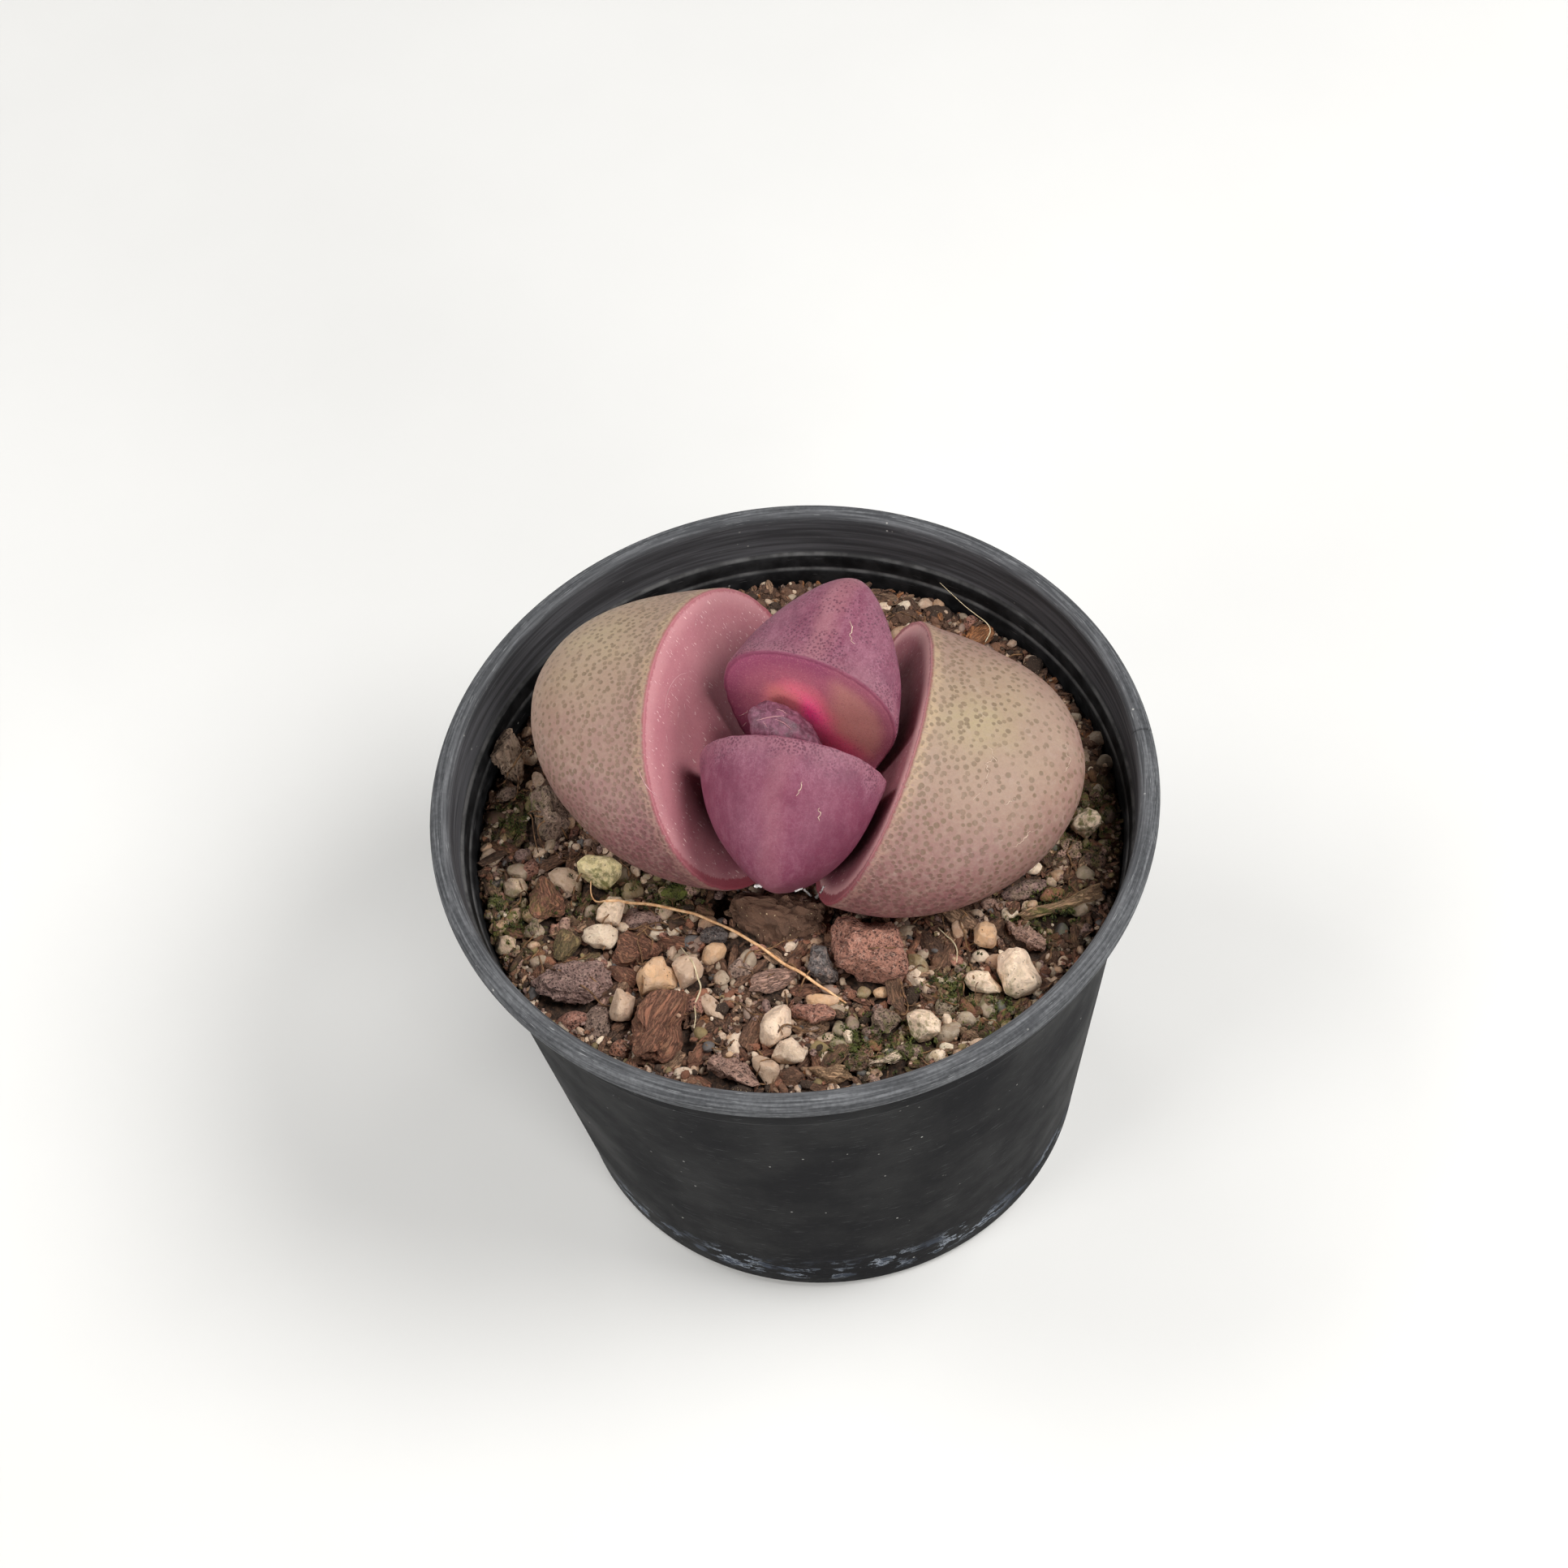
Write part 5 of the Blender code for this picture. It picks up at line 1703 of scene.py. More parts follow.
# %% Chips seen in the photograph
SEEN_CHIPS = (
    ("pumice", "sand", 605, 1048, 3.7, 2.8, 10), ("pumice", "grey", 637, 1071, 2.9, 2.4, 0),
    ("lava", "purple", 642, 1050, 2.6, 2.2, 30), ("bark", "olive", 637, 1006, 8.5, 2.6, 60),
    ("pebble", "umber", 610, 1003, 3.0, 2.5, 0), ("lava", "ash", 624, 973, 3.2, 2.4, 20),
    ("bark", "brown", 677, 1045, 5.0, 1.1, -40), ("bark", "brown", 719, 1049, 5.0, 1.1, 4),
    ("bark", "olive", 695, 1163, 4.6, 3.9, 70), ("bark", "tan", 717, 1141, 2.2, 1.4, 30),
    ("pumice", "grey", 658, 1144, 2.6, 2.2, 0), ("pumice", "grey", 662, 1182, 2.4, 1.6, 20),
    ("bark", "olive", 726, 1178, 3.0, 1.2, 15), ("lava", "moss", 610, 1107, 2.3, 2.2, 0),
    ("lava", "slate", 610, 1087, 3.0, 1.6, 25), ("bark", "olive", 594, 1060, 2.6, 1.4, 80),
    ("lava", "purple", 790, 1130, 5.2, 3.0, 0), ("pumice", "olive", 778, 1091, 2.9, 3.4, 0),
    ("bark", "brown", 803, 1098, 3.2, 1.6, -15), ("crumb", "moss", 833, 1096, 4.2, 2.2, 10),
    ("bark", "umber", 851, 1133, 4.0, 2.2, 55), ("bark", "olive", 658, 1075, 2.2, 1.1, 75),
    ("pumice", "white", 808, 1146, 2.2, 2.0, 0), ("pumice", "white", 827, 1144, 2.4, 1.8, 30),
    ("bark", "sand", 851, 1141, 3.2, 1.1, 60), ("pumice", "cream", 767, 1140, 1.9, 1.5, 0),
    ("lava", "slate", 879, 1150, 3.8, 2.6, 0), ("pebble", "ash", 855, 1164, 1.9, 1.6, 0),
    ("pebble", "grey", 921, 1181, 2.3, 2.7, 0), ("bark", "brown", 904, 1187, 5.2, 1.2, 80),
    ("bark", "brown", 926, 1198, 5.9, 1.4, 40), ("bark", "rose", 952, 1208, 6.4, 3.2, 15),
    ("bark", "orange", 980, 1175, 1.6, 1.9, 40), ("bark", "orange", 994, 1133, 4.4, 3.4, 75),
    ("bark", "brown", 1014, 1125, 3.2, 2.6, 20), ("bark", "umber", 968, 1133, 4.0, 3.0, 80),
    ("pumice", "grey", 889, 1203, 2.1, 2.1, 0), ("pumice", "sand", 875, 1236, 5.0, 2.2, -50),
    ("pumice", "ochre", 889, 1241, 1.5, 1.3, 0), ("bark", "rust", 992, 1219, 4.0, 2.1, 0),
    ("pumice", "ochre", 1015, 1231, 4.6, 2.0, 0), ("lava", "red", 983, 1244, 2.3, 2.1, 0),
    ("pebble", "grey", 1035, 1264, 2.0, 2.4, 0), ("pumice", "sand", 1019, 1275, 3.0, 1.9, 10),
    ("pebble", "olive", 1008, 1286, 2.7, 2.1, 0), ("bark", "olive", 1049, 1281, 2.9, 1.9, 70),
    ("lava", "purple", 1074, 1269, 2.7, 2.3, 0), ("pumice", "cream", 1019, 1300, 2.5, 2.4, 20),
    ("lava", "sand", 1051, 1297, 2.5, 1.7, 0), ("bark", "brown", 971, 1323, 4.0, 2.8, -10),
    ("bark", "orange", 1005, 1318, 3.5, 1.1, 5), ("bark", "orange", 871, 1257, 2.7, 1.8, -30),
    ("bark", "rust", 865, 1294, 5.6, 2.1, 55), ("pumice", "cream", 907, 1280, 3.9, 2.4, 65),
    ("pumice", "ochre", 899, 1297, 1.5, 1.4, 0), ("pumice", "white", 842, 1319, 2.5, 1.5, 0),
    ("lava", "rust", 765, 1287, 3.2, 2.5, 0), ("lava", "ash", 736, 1253, 5.6, 3.8, 80),
    ("lava", "red", 703, 1250, 4.0, 2.8, 15), ("bark", "rust", 769, 1200, 4.8, 2.5, -35),
    ("bark", "tan", 771, 1209, 3.0, 2.2, 60), ("bark", "umber", 1146, 1157, 5.6, 2.6, -55),
    ("pumice", "tan", 1183, 1139, 3.4, 2.3, 82), ("pumice", "olive", 1131, 1186, 3.7, 2.2, -55),
    ("pebble", "white", 1208, 1175, 2.2, 1.7, 0), ("pebble", "grey", 1183, 1187, 1.6, 1.5, 0),
    ("pumice", "white", 1244, 1123, 2.2, 1.7, 0), ("pebble", "slate", 1308, 1141, 2.1, 2.7, 0),
    ("lava", "purple", 1262, 1094, 6.0, 2.6, 17), ("pumice", "cream", 1274, 1069, 2.1, 1.7, 0),
    ("lava", "rose", 1321, 1038, 2.9, 3.4, 20), ("lava", "umber", 1346, 1054, 4.2, 2.8, 10),
    ("pebble", "grey", 1337, 1071, 2.6, 2.5, 0), ("pumice", "sand", 1374, 1064, 1.3, 1.2, 0),
    ("bark", "tan", 1333, 1137, 3.2, 2.6, 50), ("bark", "ochre", 1196, 1230, 4.3, 1.8, 12),
    ("lava", "grey", 1165, 1234, 2.9, 2.8, 0), ("pumice", "white", 1160, 1207, 2.1, 1.1, -10),
    ("pumice", "grey", 1190, 1253, 2.7, 2.1, 0), ("bark", "rust", 1237, 1248, 2.5, 1.5, 30),
    ("pumice", "cream", 1155, 1298, 2.4, 1.7, 25), ("lava", "rose", 1260, 1237, 1.9, 1.5, 0),
    ("pumice", "ochre", 1087, 1223, 2.3, 1.5, 0), ("lava", "red", 1105, 1228, 2.5, 2.1, 0),
    ("pumice", "olive", 1064, 1221, 1.9, 1.7, 0), ("pumice", "tan", 1110, 780, 3.6, 3.2, 50),
    ("bark", "brown", 1150, 728, 3.6, 2.0, 75), ("pumice", "cream", 1089, 744, 2.0, 1.5, 0),
    ("bark", "ochre", 996, 706, 2.8, 1.1, 25), ("pumice", "sand", 1003, 724, 2.6, 1.6, 10),
    ("pumice", "white", 942, 717, 1.4, 1.2, 0), ("bark", "orange", 1190, 762, 4.0, 1.8, -50),
    ("pumice", "grey", 1352, 905, 2.6, 2.2, 0), ("pebble", "grey", 1362, 935, 2.4, 2.2, 0),
    ("pebble", "ash", 1049, 1259, 1.9, 2.5, 0), ("lava", "umber", 1054, 1304, 3.6, 3.0, 20),
    ("lava", "rust", 1047, 1223, 2.0, 1.6, 0), ("bark", "brown", 1168, 1178, 4.4, 2.2, 70),
    ("pumice", "grey", 728, 1120, 2.2, 1.8, 30), ("bark", "rust", 900, 1252, 1.8, 1.4, 0),
    ("pumice", "white", 1116, 742, 2.6, 1.8, 10), ("pumice", "sand", 1140, 739, 2.2, 1.8, 0),
    ("pumice", "grey", 1352, 968, 2.2, 1.9, 0), ("pebble", "ash", 1365, 1000, 2.4, 2.2, 0),
)
STEP_PX = 10
LONG_CHIP = 3.4
# Parts of a chip's height: where its outline is seen, and how far its middle stands above the mix
SEEN_HEIGHT, SEAT = 0.6, 0.22
CHIP_GROWTH = 1.08
seen_rng = random.Random(21)
grains = {kind: [] for kind in LUMP_KINDS}
footprints = []
for kind, tint, px, py, length, width, turn in SEEN_CHIPS:
    height = width * (0.55 if kind == "bark" else 0.85)
    level = MIX_LEVEL + SEEN_HEIGHT * height
    at = at_height(px, py, level)
    turn = math.radians(turn)
    way = at_height(px + STEP_PX * math.cos(turn), py - STEP_PX * math.sin(turn), level) - at
    place = np.array([at.x, at.y, mix_height(at.x, at.y) + SEAT * height])
    sizes = np.array([length, width, height]) / 2 * CHIP_GROWTH
    detail = 4 if length > LONG_CHIP else 3
    tip = seen_rng.uniform(-0.25, 0.25)
    choice = seen_rng.randrange(LUMPS_PER_KIND)
    color = tinted(tint, seen_rng, 0.08)
    grains[kind].append((place, sizes, math.atan2(way.y, way.x), tip, color, detail, choice))
    footprints.append((at.x, at.y, (length + width) / 4, float(place[2] + sizes[2])))
print("chips placed by eye:", len(SEEN_CHIPS))

# %% [markdown]
# Everything between those chips is filled by a rule. The ground is a grid of heights. Grains are dropped from
# the coarsest to the finest, each at the lowest of a few random spots, and each raises the ground where it
# lands. That is how a shaken heap packs: the small grains end up in the hollows. Behind the plant the mix is
# finer and browner.

# %% Fill the gaps
CELL = 0.3
GRID_HALF = 46
ticks = np.arange(-GRID_HALF, GRID_HALF, CELL)
ground = np.array([[mix_height(x, y) - 0.3 for x in ticks] for y in ticks])


def raise_ground(x, y, radius, peak):
    """Stamps a dome on the grid of heights, wherever it is higher than what is there."""
    low_x, high_x = (int((x + s * radius + GRID_HALF) / CELL) for s in (-1, 1))
    low_y, high_y = (int((y + s * radius + GRID_HALF) / CELL) for s in (-1, 1))
    patch = ground[low_y : high_y + 1, low_x : high_x + 1]
    off_x = ticks[low_x : high_x + 1] - x
    off_y = ticks[low_y : high_y + 1] - y
    far = (off_x[None, :] ** 2 + off_y[:, None] ** 2) / radius**2
    dome = peak - radius * (1 - np.sqrt(np.clip(1 - far, 0, 1)))
    np.copyto(patch, np.maximum(patch, np.where(far < 1, dome, -math.inf)))


for x, y, radius, peak in footprints:
    raise_ground(x, y, radius, peak)
# A stone's dome is a little narrower than the stone
for name in STONES:
    low, high = (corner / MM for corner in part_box(name))
    middle = (low + high) / 2
    raise_ground(middle.x, middle.y, (high.x - low.x + high.y - low.y) / 4.4, high.z)

fill_rng = random.Random(12)
FRONT_MIX = {
    "pumice": (0.17, ("cream", "sand", "grey", "tan", "tan", "sand", "grey")),
    "pebble": (0.08, ("grey", "ash", "olive", "slate")),
    "bark": (0.42, ("brown", "umber", "rust", "rust", "brown", "umber", "tan")),
    "lava": (0.12, ("purple", "red", "ash", "rose", "umber")),
    "crumb": (0.21, ("dark", "umber", "brown", "rust")),
}
BACK_MIX = {
    "pumice": (0.06, ("sand", "grey", "tan", "white")),
    "pebble": (0.04, ("grey", "ash")),
    "bark": (0.36, ("brown", "umber", "umber", "tan", "brown", "orange")),
    "lava": (0.08, ("red", "ash", "umber")),
    "crumb": (0.46, ("umber", "brown", "dark", "umber")),
}
# From the coarsest down: how many grains, their least and greatest radius in millimetres, and their detail
GRADES = ((430, 0.95, 1.6, 3), (1400, 0.62, 0.95, 2), (2600, 0.38, 0.62, 2), (5000, 0.2, 0.38, 1))
TRIES = 5
BACK_FROM = 14
HIGHEST_GRAIN = 2.2


def pick(table, rng):
    """A kind, as often as its share says, and one of its tints."""
    draw = rng.random()
    for kind, (share, tints) in table.items():
        draw -= share
        if draw <= 0:
            return kind, rng.choice(tints)
    return kind, rng.choice(tints)


def ground_at(x, y):
    """The height of the ground here, with all that has landed on it."""
    return ground[int((y + GRID_HALF) / CELL), int((x + GRID_HALF) / CELL)]


def random_spot(reach, rng):
    """A spot on a disc, as likely in one place as in another."""
    distance = reach * math.sqrt(rng.random())
    angle = rng.uniform(0, math.tau)
    return distance * math.cos(angle), distance * math.sin(angle)


for count, least, most, detail in GRADES:
    for _ in range(count):
        radius = fill_rng.uniform(least, most)
        best = None
        for _ in range(TRIES):
            x, y = random_spot(mix_reach - 0.9 * radius, fill_rng)
            if math.hypot(x - hollow.x, y - hollow.y) < HOLLOW_REACH:
                continue
            spot = Vector((x, y, ground_at(x, y) + 0.2 * radius))
            if not in_leaf(spot, 0.8 * radius) and (best is None or spot.z < best.z):
                best = spot
        if best is None or best.z > MIX_LEVEL + HIGHEST_GRAIN:
            continue
        back = best.y + fill_rng.gauss(0, 4) > BACK_FROM
        kind, tint = pick(BACK_MIX if back else FRONT_MIX, fill_rng)
        flake = kind == "bark"
        longer = fill_rng.uniform(1.3, 2.3) if flake else fill_rng.uniform(1, 1.35)
        flatter = fill_rng.uniform(0.3, 0.5) if flake else 0.8
        sizes = 1.1 * radius * np.array([longer, fill_rng.uniform(0.7, 1), flatter])
        tip = fill_rng.gauss(0, 0.5 if flake else 0.35)
        turn = fill_rng.uniform(0, math.tau)
        color = tinted(tint, fill_rng, 0.2)
        choice = fill_rng.randrange(LUMPS_PER_KIND)
        grains[kind].append((np.array(best), sizes, turn, tip, color, detail, choice))
        raise_ground(best.x, best.y, radius, best.z + 0.8 * radius)

# %% [markdown]
# The grains become one mesh for each kind and size. Chips are the coarse grains, grit the middling ones and
# powder the finest.

# %% Heaps
# Which grains go in a heap, by their detail
HEAPS = {"chips": (3, 4), "grit": (2,), "powder": (1,)}
for kind, rows in grains.items():
    slot = "potting_mix" if kind == "crumb" else kind
    for heap_name, details in HEAPS.items():
        part = [row for row in rows if row[5] in details]
        name = heap_name + "_" + kind
        mesh = heap(name, kind, part)
        add_piece(name, mesh, grit_finishes[kind])
        mesh.set_sharp_from_angle(angle=GRAIN_EDGE)
        print(name, len(part), "grains,", len(mesh.polygons), "triangles")

# %% [markdown]
# Dry roots and fibres lie over the grit. Each is a thin tube along a smooth line. Its height comes from the
# ground grid: it rests on what is highest and bridges the hollows, as a stiff fibre does.


# %% Strands
def smooth_line(points, steps):
    """A smooth line through the points, by the Catmull-Rom rule."""
    points = [np.array(point, float) for point in points]
    padded = [2 * points[0] - points[1], *points, 2 * points[-1] - points[-2]]
    line = []
    for a, b, c, d in zip(padded, padded[1:], padded[2:], padded[3:]):
        for share in np.arange(steps) / steps:
            bend = (2 * a - 5 * b + 4 * c - d) * share**2 + (3 * b - a - 3 * c + d) * share**3
            line.append((2 * b + (c - a) * share + bend) / 2)
    return np.array(line + [points[-1]])


def tube_rows(line, radii, sides):
    """Rings of points round a line, with a single point at each end."""
    line = np.asarray(line)
    ways = np.gradient(line, axis=0)
    ways /= np.linalg.norm(ways, axis=1)[:, None]
    rows = [line[:1]]
    for point, way, radius in zip(line, ways, radii):
        first = np.cross(way, (0.3, 0.1, 1.0))
        first /= np.linalg.norm(first)
        second = np.cross(way, first)
        turns = np.arange(sides) * math.tau / sides
        rows.append(point + radius * (np.outer(np.cos(turns), first) + np.outer(np.sin(turns), second)))
    return rows + [line[-1:]]


def rest_height(x, y):
    """The top of the ground or of the large stone that lies there."""
    hit = stone_tree.ray_cast(Vector((x, y, MIX_LEVEL + 12)), DOWN)[0]
    return ground_at(x, y) if hit is None else max(ground_at(x, y), hit.z + 0.05)


def settle(line, radius, stiffness, height_at=ground_at):
    """Lays a line of points on the ground: never below it, and straight where it bridges a hollow."""
    bed = np.array([height_at(x, y) + radius for x, y in line[:, :2]])
    height = bed.copy()
    for _ in range(stiffness):
        height[1:-1] = np.maximum(bed[1:-1], (height[:-2] + height[2:]) / 2 - 0.01)
    for _ in range(stiffness // 8):
        height[1:-1] = (height[:-2] + 2 * height[1:-1] + height[2:]) / 4
    return np.column_stack([line[:, :2], height])


def laid(course_px, radius, steps, stiffness):
    """A strand that lies on the ground and is seen to run through these pixels."""
    heights = [MIX_LEVEL + 1.5] * len(course_px)
    for _ in range(4):
        nodes = [at_height(px, py, height) for (px, py), height in zip(course_px, heights)]
        line = settle(smooth_line(nodes, steps), radius, stiffness, rest_height)
        heights = line[::steps, 2]
    return line


def joined_mesh(name, meshes):
    """Several lofts as one mesh."""
    whole = mesh_of(name, *merged(meshes))
    for mesh in meshes:
        bpy.data.meshes.remove(mesh)
    face_outward(whole)
    return whole


def fibre_finish(name, dark, pale, roughness=0.6):
    finish = Finish(name)
    streak = finish.grain(0.8, detail=4)
    finish.set(
        Base_Color=finish.mix(streak.ease(0.3, 0.7), dark, pale),
        Roughness=roughness + 0.1 * streak,
        Normal=finish.bump(finish.grain(0.2), 0.03),
    )
    return finish


# %% [markdown]
# The golden root on the left is the one that everybody notices. Two thinner pale ones lie in front of it and
# to its right, and a pale hair leans on the wall at the back. The rest are short brown fibres, scattered by a
# seeded rule.

# %% Dry roots
GOLDEN_PX = (
    (728, 1085), (728, 1099), (736, 1109), (750, 1110), (768, 1111), (798, 1114), (838, 1122), (866, 1130),
    (904, 1147), (931, 1163), (955, 1180), (976, 1193), (999, 1207), (1022, 1222), (1043, 1236),
)
GOLDEN_RADII = (0.08, 0.1, 0.13, 0.17, 0.2) + (0.21,) * 8 + (0.17, 0.1)
PALE_PX = (
    (839, 1167), (849, 1180), (855, 1189), (860, 1205), (863, 1215), (860, 1227), (856, 1239), (857, 1252),
    (855, 1267),
)
THIN_PX = ((1156, 1143), (1164, 1151), (1174, 1160), (1179, 1170), (1179, 1182), (1178, 1190))
HAIR_PX = ((1158, 718), (1187, 745), (1202, 757), (1216, 768), (1220, 778), (1214, 791))
HAIR_HEIGHTS = np.linspace(68.5, 66, len(HAIR_PX))


def thickness(radii, line):
    """A radius for each point of a line, from a few given along it."""
    return np.interp(np.linspace(0, 1, len(line)), np.linspace(0, 1, len(radii)), radii)


golden_line = laid(GOLDEN_PX, max(GOLDEN_RADII), steps=12, stiffness=240)
golden_rows = tube_rows(golden_line, thickness(GOLDEN_RADII, golden_line), sides=10)
golden = joined_mesh("golden_root", [loft("strand", golden_rows)])
straw = fibre_finish("straw", rgb(206, 150, 100), rgb(246, 204, 156))
add_piece("golden_root", golden, straw)

hair_line = smooth_line([at_height(px, py, height) for (px, py), height in zip(HAIR_PX, HAIR_HEIGHTS)], 8)
pale_strands = []
for line, radii in (
    (laid(PALE_PX, 0.1, steps=8, stiffness=60), (0.07, 0.12, 0.12, 0.06)),
    (laid(THIN_PX, 0.07, steps=8, stiffness=60), (0.05, 0.09, 0.09, 0.05)),
    (hair_line, (0.04, 0.06, 0.08, 0.06)),
):
    pale_strands.append(loft("strand", tube_rows(line, thickness(radii, line), sides=8)))
pale_straw = fibre_finish("pale_straw", rgb(190, 170, 130), rgb(226, 212, 180))
add_piece("pale_roots", joined_mesh("pale_roots", pale_strands), pale_straw)

# %% Brown fibres
FIBRES = 170
LEAF_CLEAR = 0.6
fibre_rng = random.Random(31)
fibres = []
while len(fibres) < FIBRES:
    line = [np.array(random_spot(mix_reach - 2, fibre_rng))]
    heading = fibre_rng.uniform(0, math.tau)
    for _ in range(fibre_rng.randint(3, 6)):
        heading += fibre_rng.gauss(0, 0.55)
        line.append(line[-1] + fibre_rng.uniform(0.7, 1.5) * np.array([math.cos(heading), math.sin(heading)]))
    if max(np.hypot(*point) for point in line) > mix_reach - 0.6:
        continue
    radius = fibre_rng.uniform(0.05, 0.14)
    line = settle(smooth_line(line, steps=4), radius, stiffness=12)
    if any(in_leaf(Vector(point), LEAF_CLEAR) for point in line):
        continue
    fibres.append(loft("strand", tube_rows(line, np.full(len(line), radius), sides=5)))
brown = fibre_finish("brown_fibre", rgb(66, 44, 30), rgb(150, 112, 76), 0.8)
add_piece("brown_fibres", joined_mesh("brown_fibres", fibres), brown)

# %% [markdown]
# Moss is a crowd of tiny pointed leaves. Each is a flat pyramid less than a millimetre tall, and they stand
# in tufts on the ground where the mix is damp.

# %% Moss
TUFTS = 620
TUFT_LEAVES = 9
HIGHEST_TUFT, TUFT_CLEAR = 1.6, 0.7
TUFT_SIDES = ((0, 2, 1), (0, 1, 3), (1, 2, 3), (2, 0, 3))
moss_rng = random.Random(44)
moss_points, moss_faces = [], []
placed = 0
while placed < TUFTS:
    at, reach = moss_rng.choice(moss_spots)
    x, y = moss_rng.gauss(at.x, reach * 0.6), moss_rng.gauss(at.y, reach * 0.6)
    if math.hypot(x, y) > mix_reach - 0.5:
        continue
    spot = Vector((x, y, ground_at(x, y) - 0.15))
    if spot.z > MIX_LEVEL + HIGHEST_TUFT or in_leaf(spot, TUFT_CLEAR):
        continue
    placed += 1
    for _ in range(TUFT_LEAVES):
        tall, wide = moss_rng.uniform(0.35, 0.8), moss_rng.uniform(0.1, 0.2)
        turn, tip = moss_rng.uniform(0, math.tau), moss_rng.uniform(0.1, 0.8)
        root = np.array(spot) + (moss_rng.gauss(0, 0.22), moss_rng.gauss(0, 0.22), 0)
        way = np.array([math.cos(turn) * math.sin(tip), math.sin(turn) * math.sin(tip), math.cos(tip)])
        flat = np.array([-math.sin(turn), math.cos(turn), 0]) * wide
        thick = np.cross(way, flat) * 0.4
        start = len(moss_points)
        moss_points += [root - flat, root + flat, root + thick, root + way * tall]
        moss_faces += [[start + i for i in corners] for corners in TUFT_SIDES]
moss_mesh = mesh_of("moss", moss_points, moss_faces)
face_outward(moss_mesh)
moss = fibre_finish("moss", rgb(36, 40, 16), rgb(104, 110, 46), 0.75)
add_piece("moss_tufts", moss_mesh, moss)
print("moss:", len(moss_faces), "triangles")

# %% [markdown]
# The skin has a few fine white cracks, and the new leaves have left pale arcs on the old face. Each is a thin
# ribbon on the surface: the pixels of its course are sent as lines of sight to the leaf that they hit.

# %% Cracks in the skin
CRACKS_PX = (
    (
        (1219, 918), (1222, 927), (1225, 934), (1220, 938), (1214, 941), (1217, 948), (1217, 958),
        (1214, 968), (1201, 986),
    ),
    ((1225, 934), (1229, 937)),
    ((1312, 917), (1315, 925), (1314, 931), (1319, 936), (1316, 944), (1312, 951)),
    ((1237, 992), (1243, 988), (1250, 985)),
    ((1248, 1044), (1258, 1037), (1265, 1028), (1272, 1023)),
    ((1047, 766), (1051, 773), (1048, 785), (1053, 794)),
    ((987, 963), (985, 972), (981, 982)),
    ((1009, 995), (1010, 1004), (1008, 1012)),
)
ARCS_PX = (
    ((819, 878), (820, 864), (823, 852), (829, 840), (837, 832), (846, 829)),
    ((786, 946), (791, 959), (800, 973), (814, 984)),
    ((857, 765), (856, 773)),
    ((843, 867), (844, 875)),
    ((836, 877), (835, 884)),
    ((821, 905), (822, 914)),
)
BUD_RIDGES_PX = (
    ((932, 888), (948, 884), (966, 882)),
    ((955, 886), (966, 891), (975, 899)),
    ((940, 889), (945, 896)),
    ((915, 895), (920, 890)),
    ((911, 882), (920, 878), (921, 875)),
    ((957, 874), (964, 876), (970, 880)),
)
LINE_STEP = 4


def ribbon(course_px, width, wander, rng):
    """A thin raised strip on the leaves along a course of pixels, narrowing to its ends."""
    line = smooth_line([(px, py, 0) for px, py in course_px], LINE_STEP)
    ridge, normals = [], []
    for px, py, _ in line:
        sight = sight_through(px + rng.uniform(-wander, wander), py + rng.uniform(-wander, wander))
        hit, normal, *_ = leaf_tree.ray_cast(eye, sight)
        ridge.append(np.array(hit + normal * 0.03))
        normals.append(np.array(normal))
    ridge = np.array(ridge)
    ways = np.gradient(ridge, axis=0)
    rows = [ridge[:1]]
    for point, way, normal, share in zip(ridge, ways, normals, np.linspace(0, 1, len(ridge))):
        across = np.cross(way, normal)
        across /= np.linalg.norm(across)
        half = width / 2 * (0.35 + 0.65 * math.sin(math.pi * share)) * rng.uniform(0.7, 1.2)
        sides = (point - across * half, point - normal * 0.06, point + across * half, point + normal * 0.02)
        rows.append(np.array(sides))
    return loft("ribbon", rows + [ridge[-1:]])


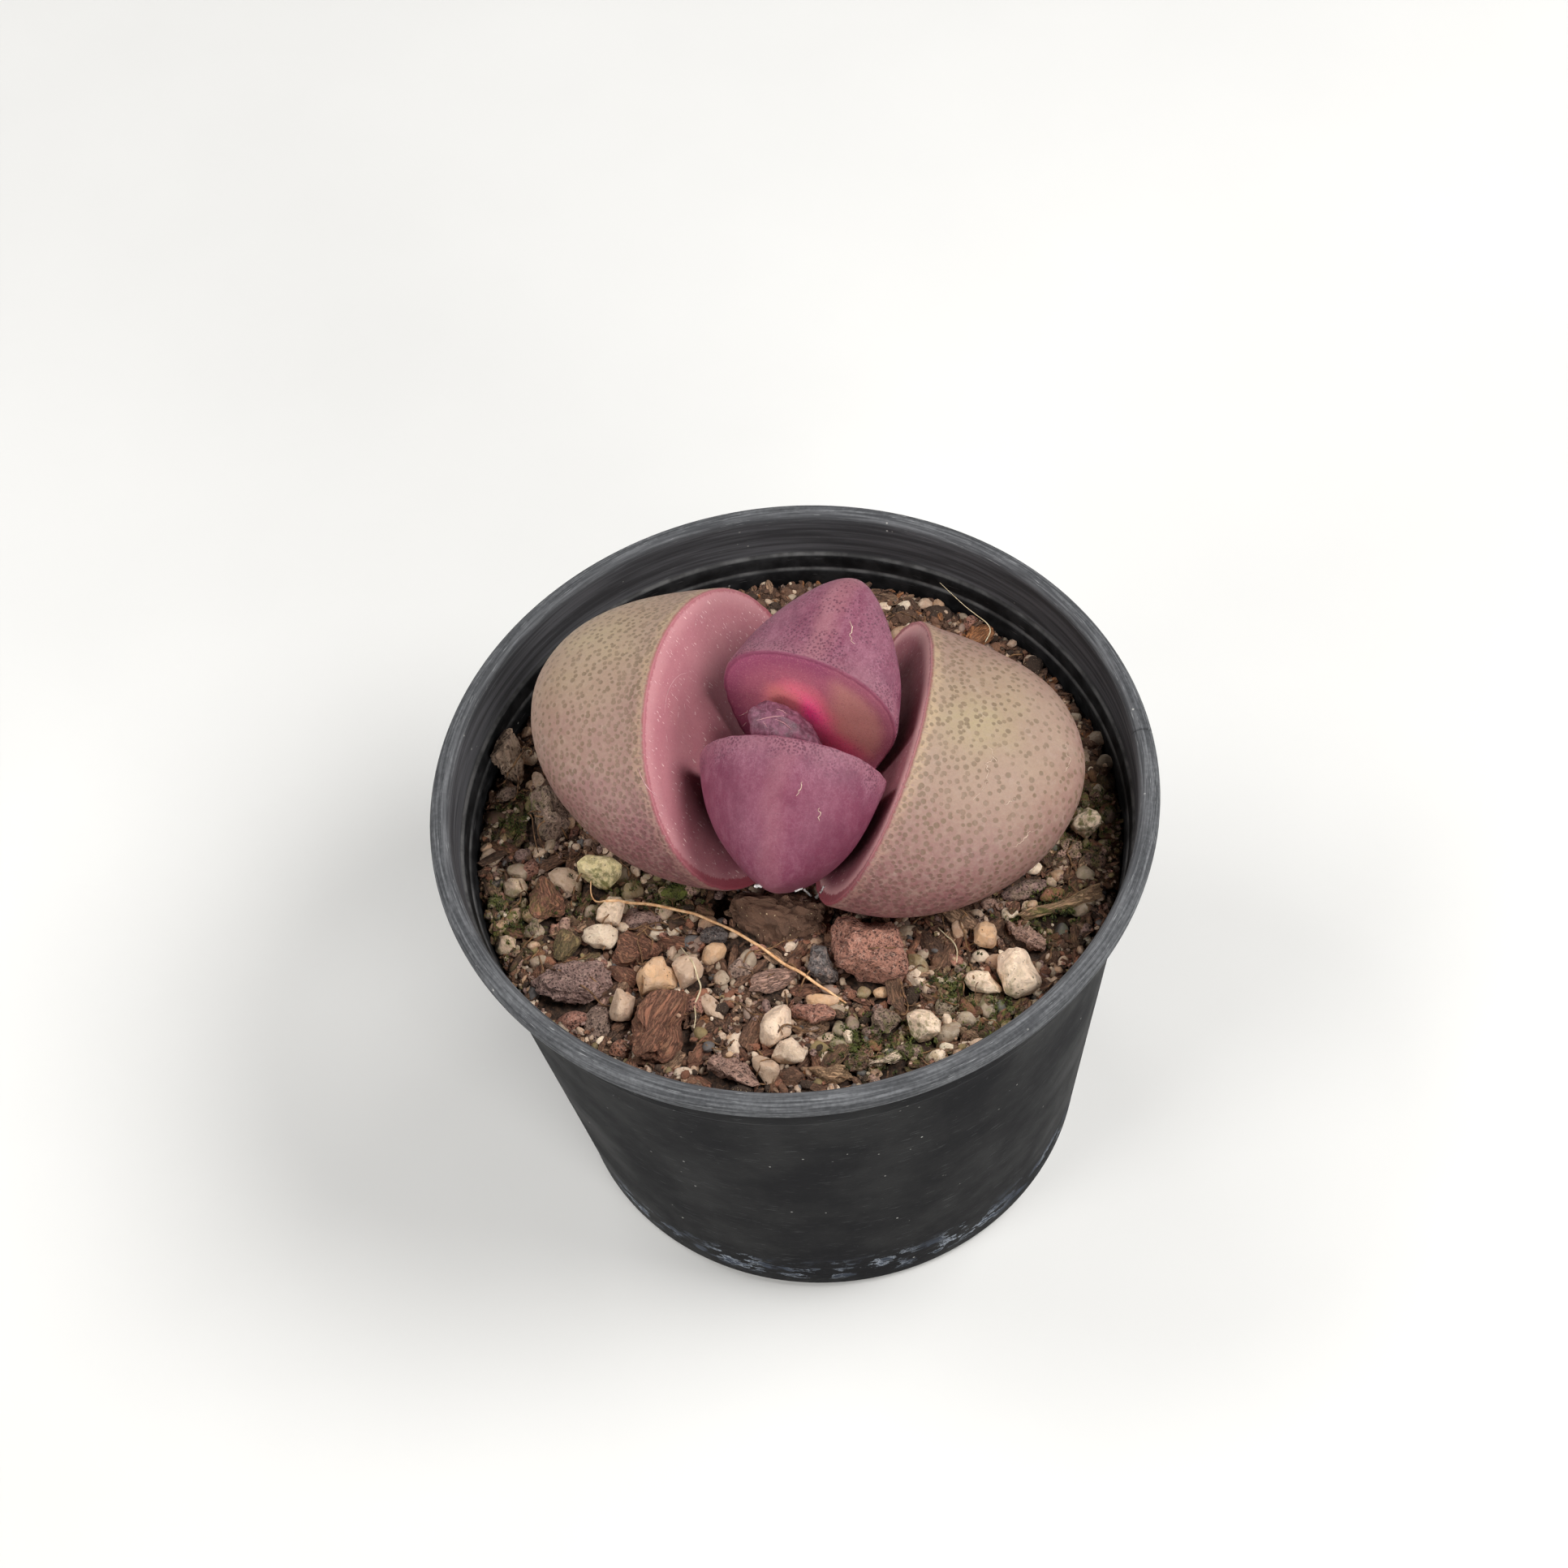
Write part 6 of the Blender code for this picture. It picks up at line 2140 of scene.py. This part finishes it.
line_rng = random.Random(8)
white_cork = fibre_finish("white_cork", rgb(176, 150, 132), rgb(208, 184, 164), 0.7)
pink_cork = fibre_finish("pink_cork", rgb(178, 130, 134), rgb(204, 158, 160), 0.7)
for name, courses_px, width, wander, cork, slot in (
    ("skin_cracks", CRACKS_PX, 0.11, 1.7, white_cork, "old_leaf_skin"),
    ("face_arcs", ARCS_PX, 0.13, 0.2, pink_cork, "old_leaf_skin"),
    ("bud_ridges", BUD_RIDGES_PX, 0.14, 0.3, pink_cork, "bud_skin"),
):
    ribbons = [ribbon(course, width, wander, line_rng) for course in courses_px]
    add_piece(name, joined_mesh(name, ribbons), cork)

# %% [markdown]
# Where the leaves join, shreds of last year's papery sheath stick out, white and crumpled. Each is a small
# sheet with two sides, bent and torn by noise.

# %% Papery shreds
SHRED_THICKNESS = 0.04
# Each shred's pixel, its length and width in millimetres, and its turn in the picture
SHREDS_PX = (
    (936, 1091, 1.6, 0.7, 10),
    (984, 1096, 1.2, 0.4, 20),
    (995, 1100, 1.6, 0.4, -42),
    (1008, 1103, 1.2, 0.6, 50),
    (1013, 1096, 1.2, 0.4, 62),
)
shred_rng = random.Random(3)
shreds = []
for px, py, length, width, turn in SHREDS_PX:
    sight = sight_through(px, py)
    hit = leaf_tree.ray_cast(eye, sight)[0] or at_height(px, py, MIX_LEVEL + 1)
    middle = np.array(hit + toward * 0.5)
    angle = math.radians(turn)
    way = np.array(side * math.cos(angle) + top * math.sin(angle))
    lift = np.cross(np.array(toward), way)
    line = [middle + way * length * (share - 0.5) for share in np.linspace(0, 1, 12)]
    rows = [line[0][None]]
    for point in line[1:-1]:
        half = width / 2 * shred_rng.uniform(0.5, 1.0)
        bend = np.array(toward) * shred_rng.uniform(-0.25, 0.25)
        front = point + bend + SHRED_THICKNESS * np.array(toward)
        rows.append(np.array([point - lift * half, front, point + lift * half, point + bend]))
    shreds.append(loft("shred", rows + [line[-1][None]]))
paper_white = fibre_finish("sheath_paper", rgb(206, 200, 196), rgb(240, 236, 232), 0.6)
add_piece("papery_shreds", joined_mesh("papery_shreds", shreds), paper_white)

# %% [markdown]
# The last cell prints how many pieces and triangles the plant has, and hands the scene over.

# %% Finish
total = {name: sum(len(face.vertices) - 2 for face in thing.data.polygons) for name, thing in pieces.items()}
print("pieces:", len(pieces), "triangles:", sum(total.values()), "in the largest:", max(total.values()))
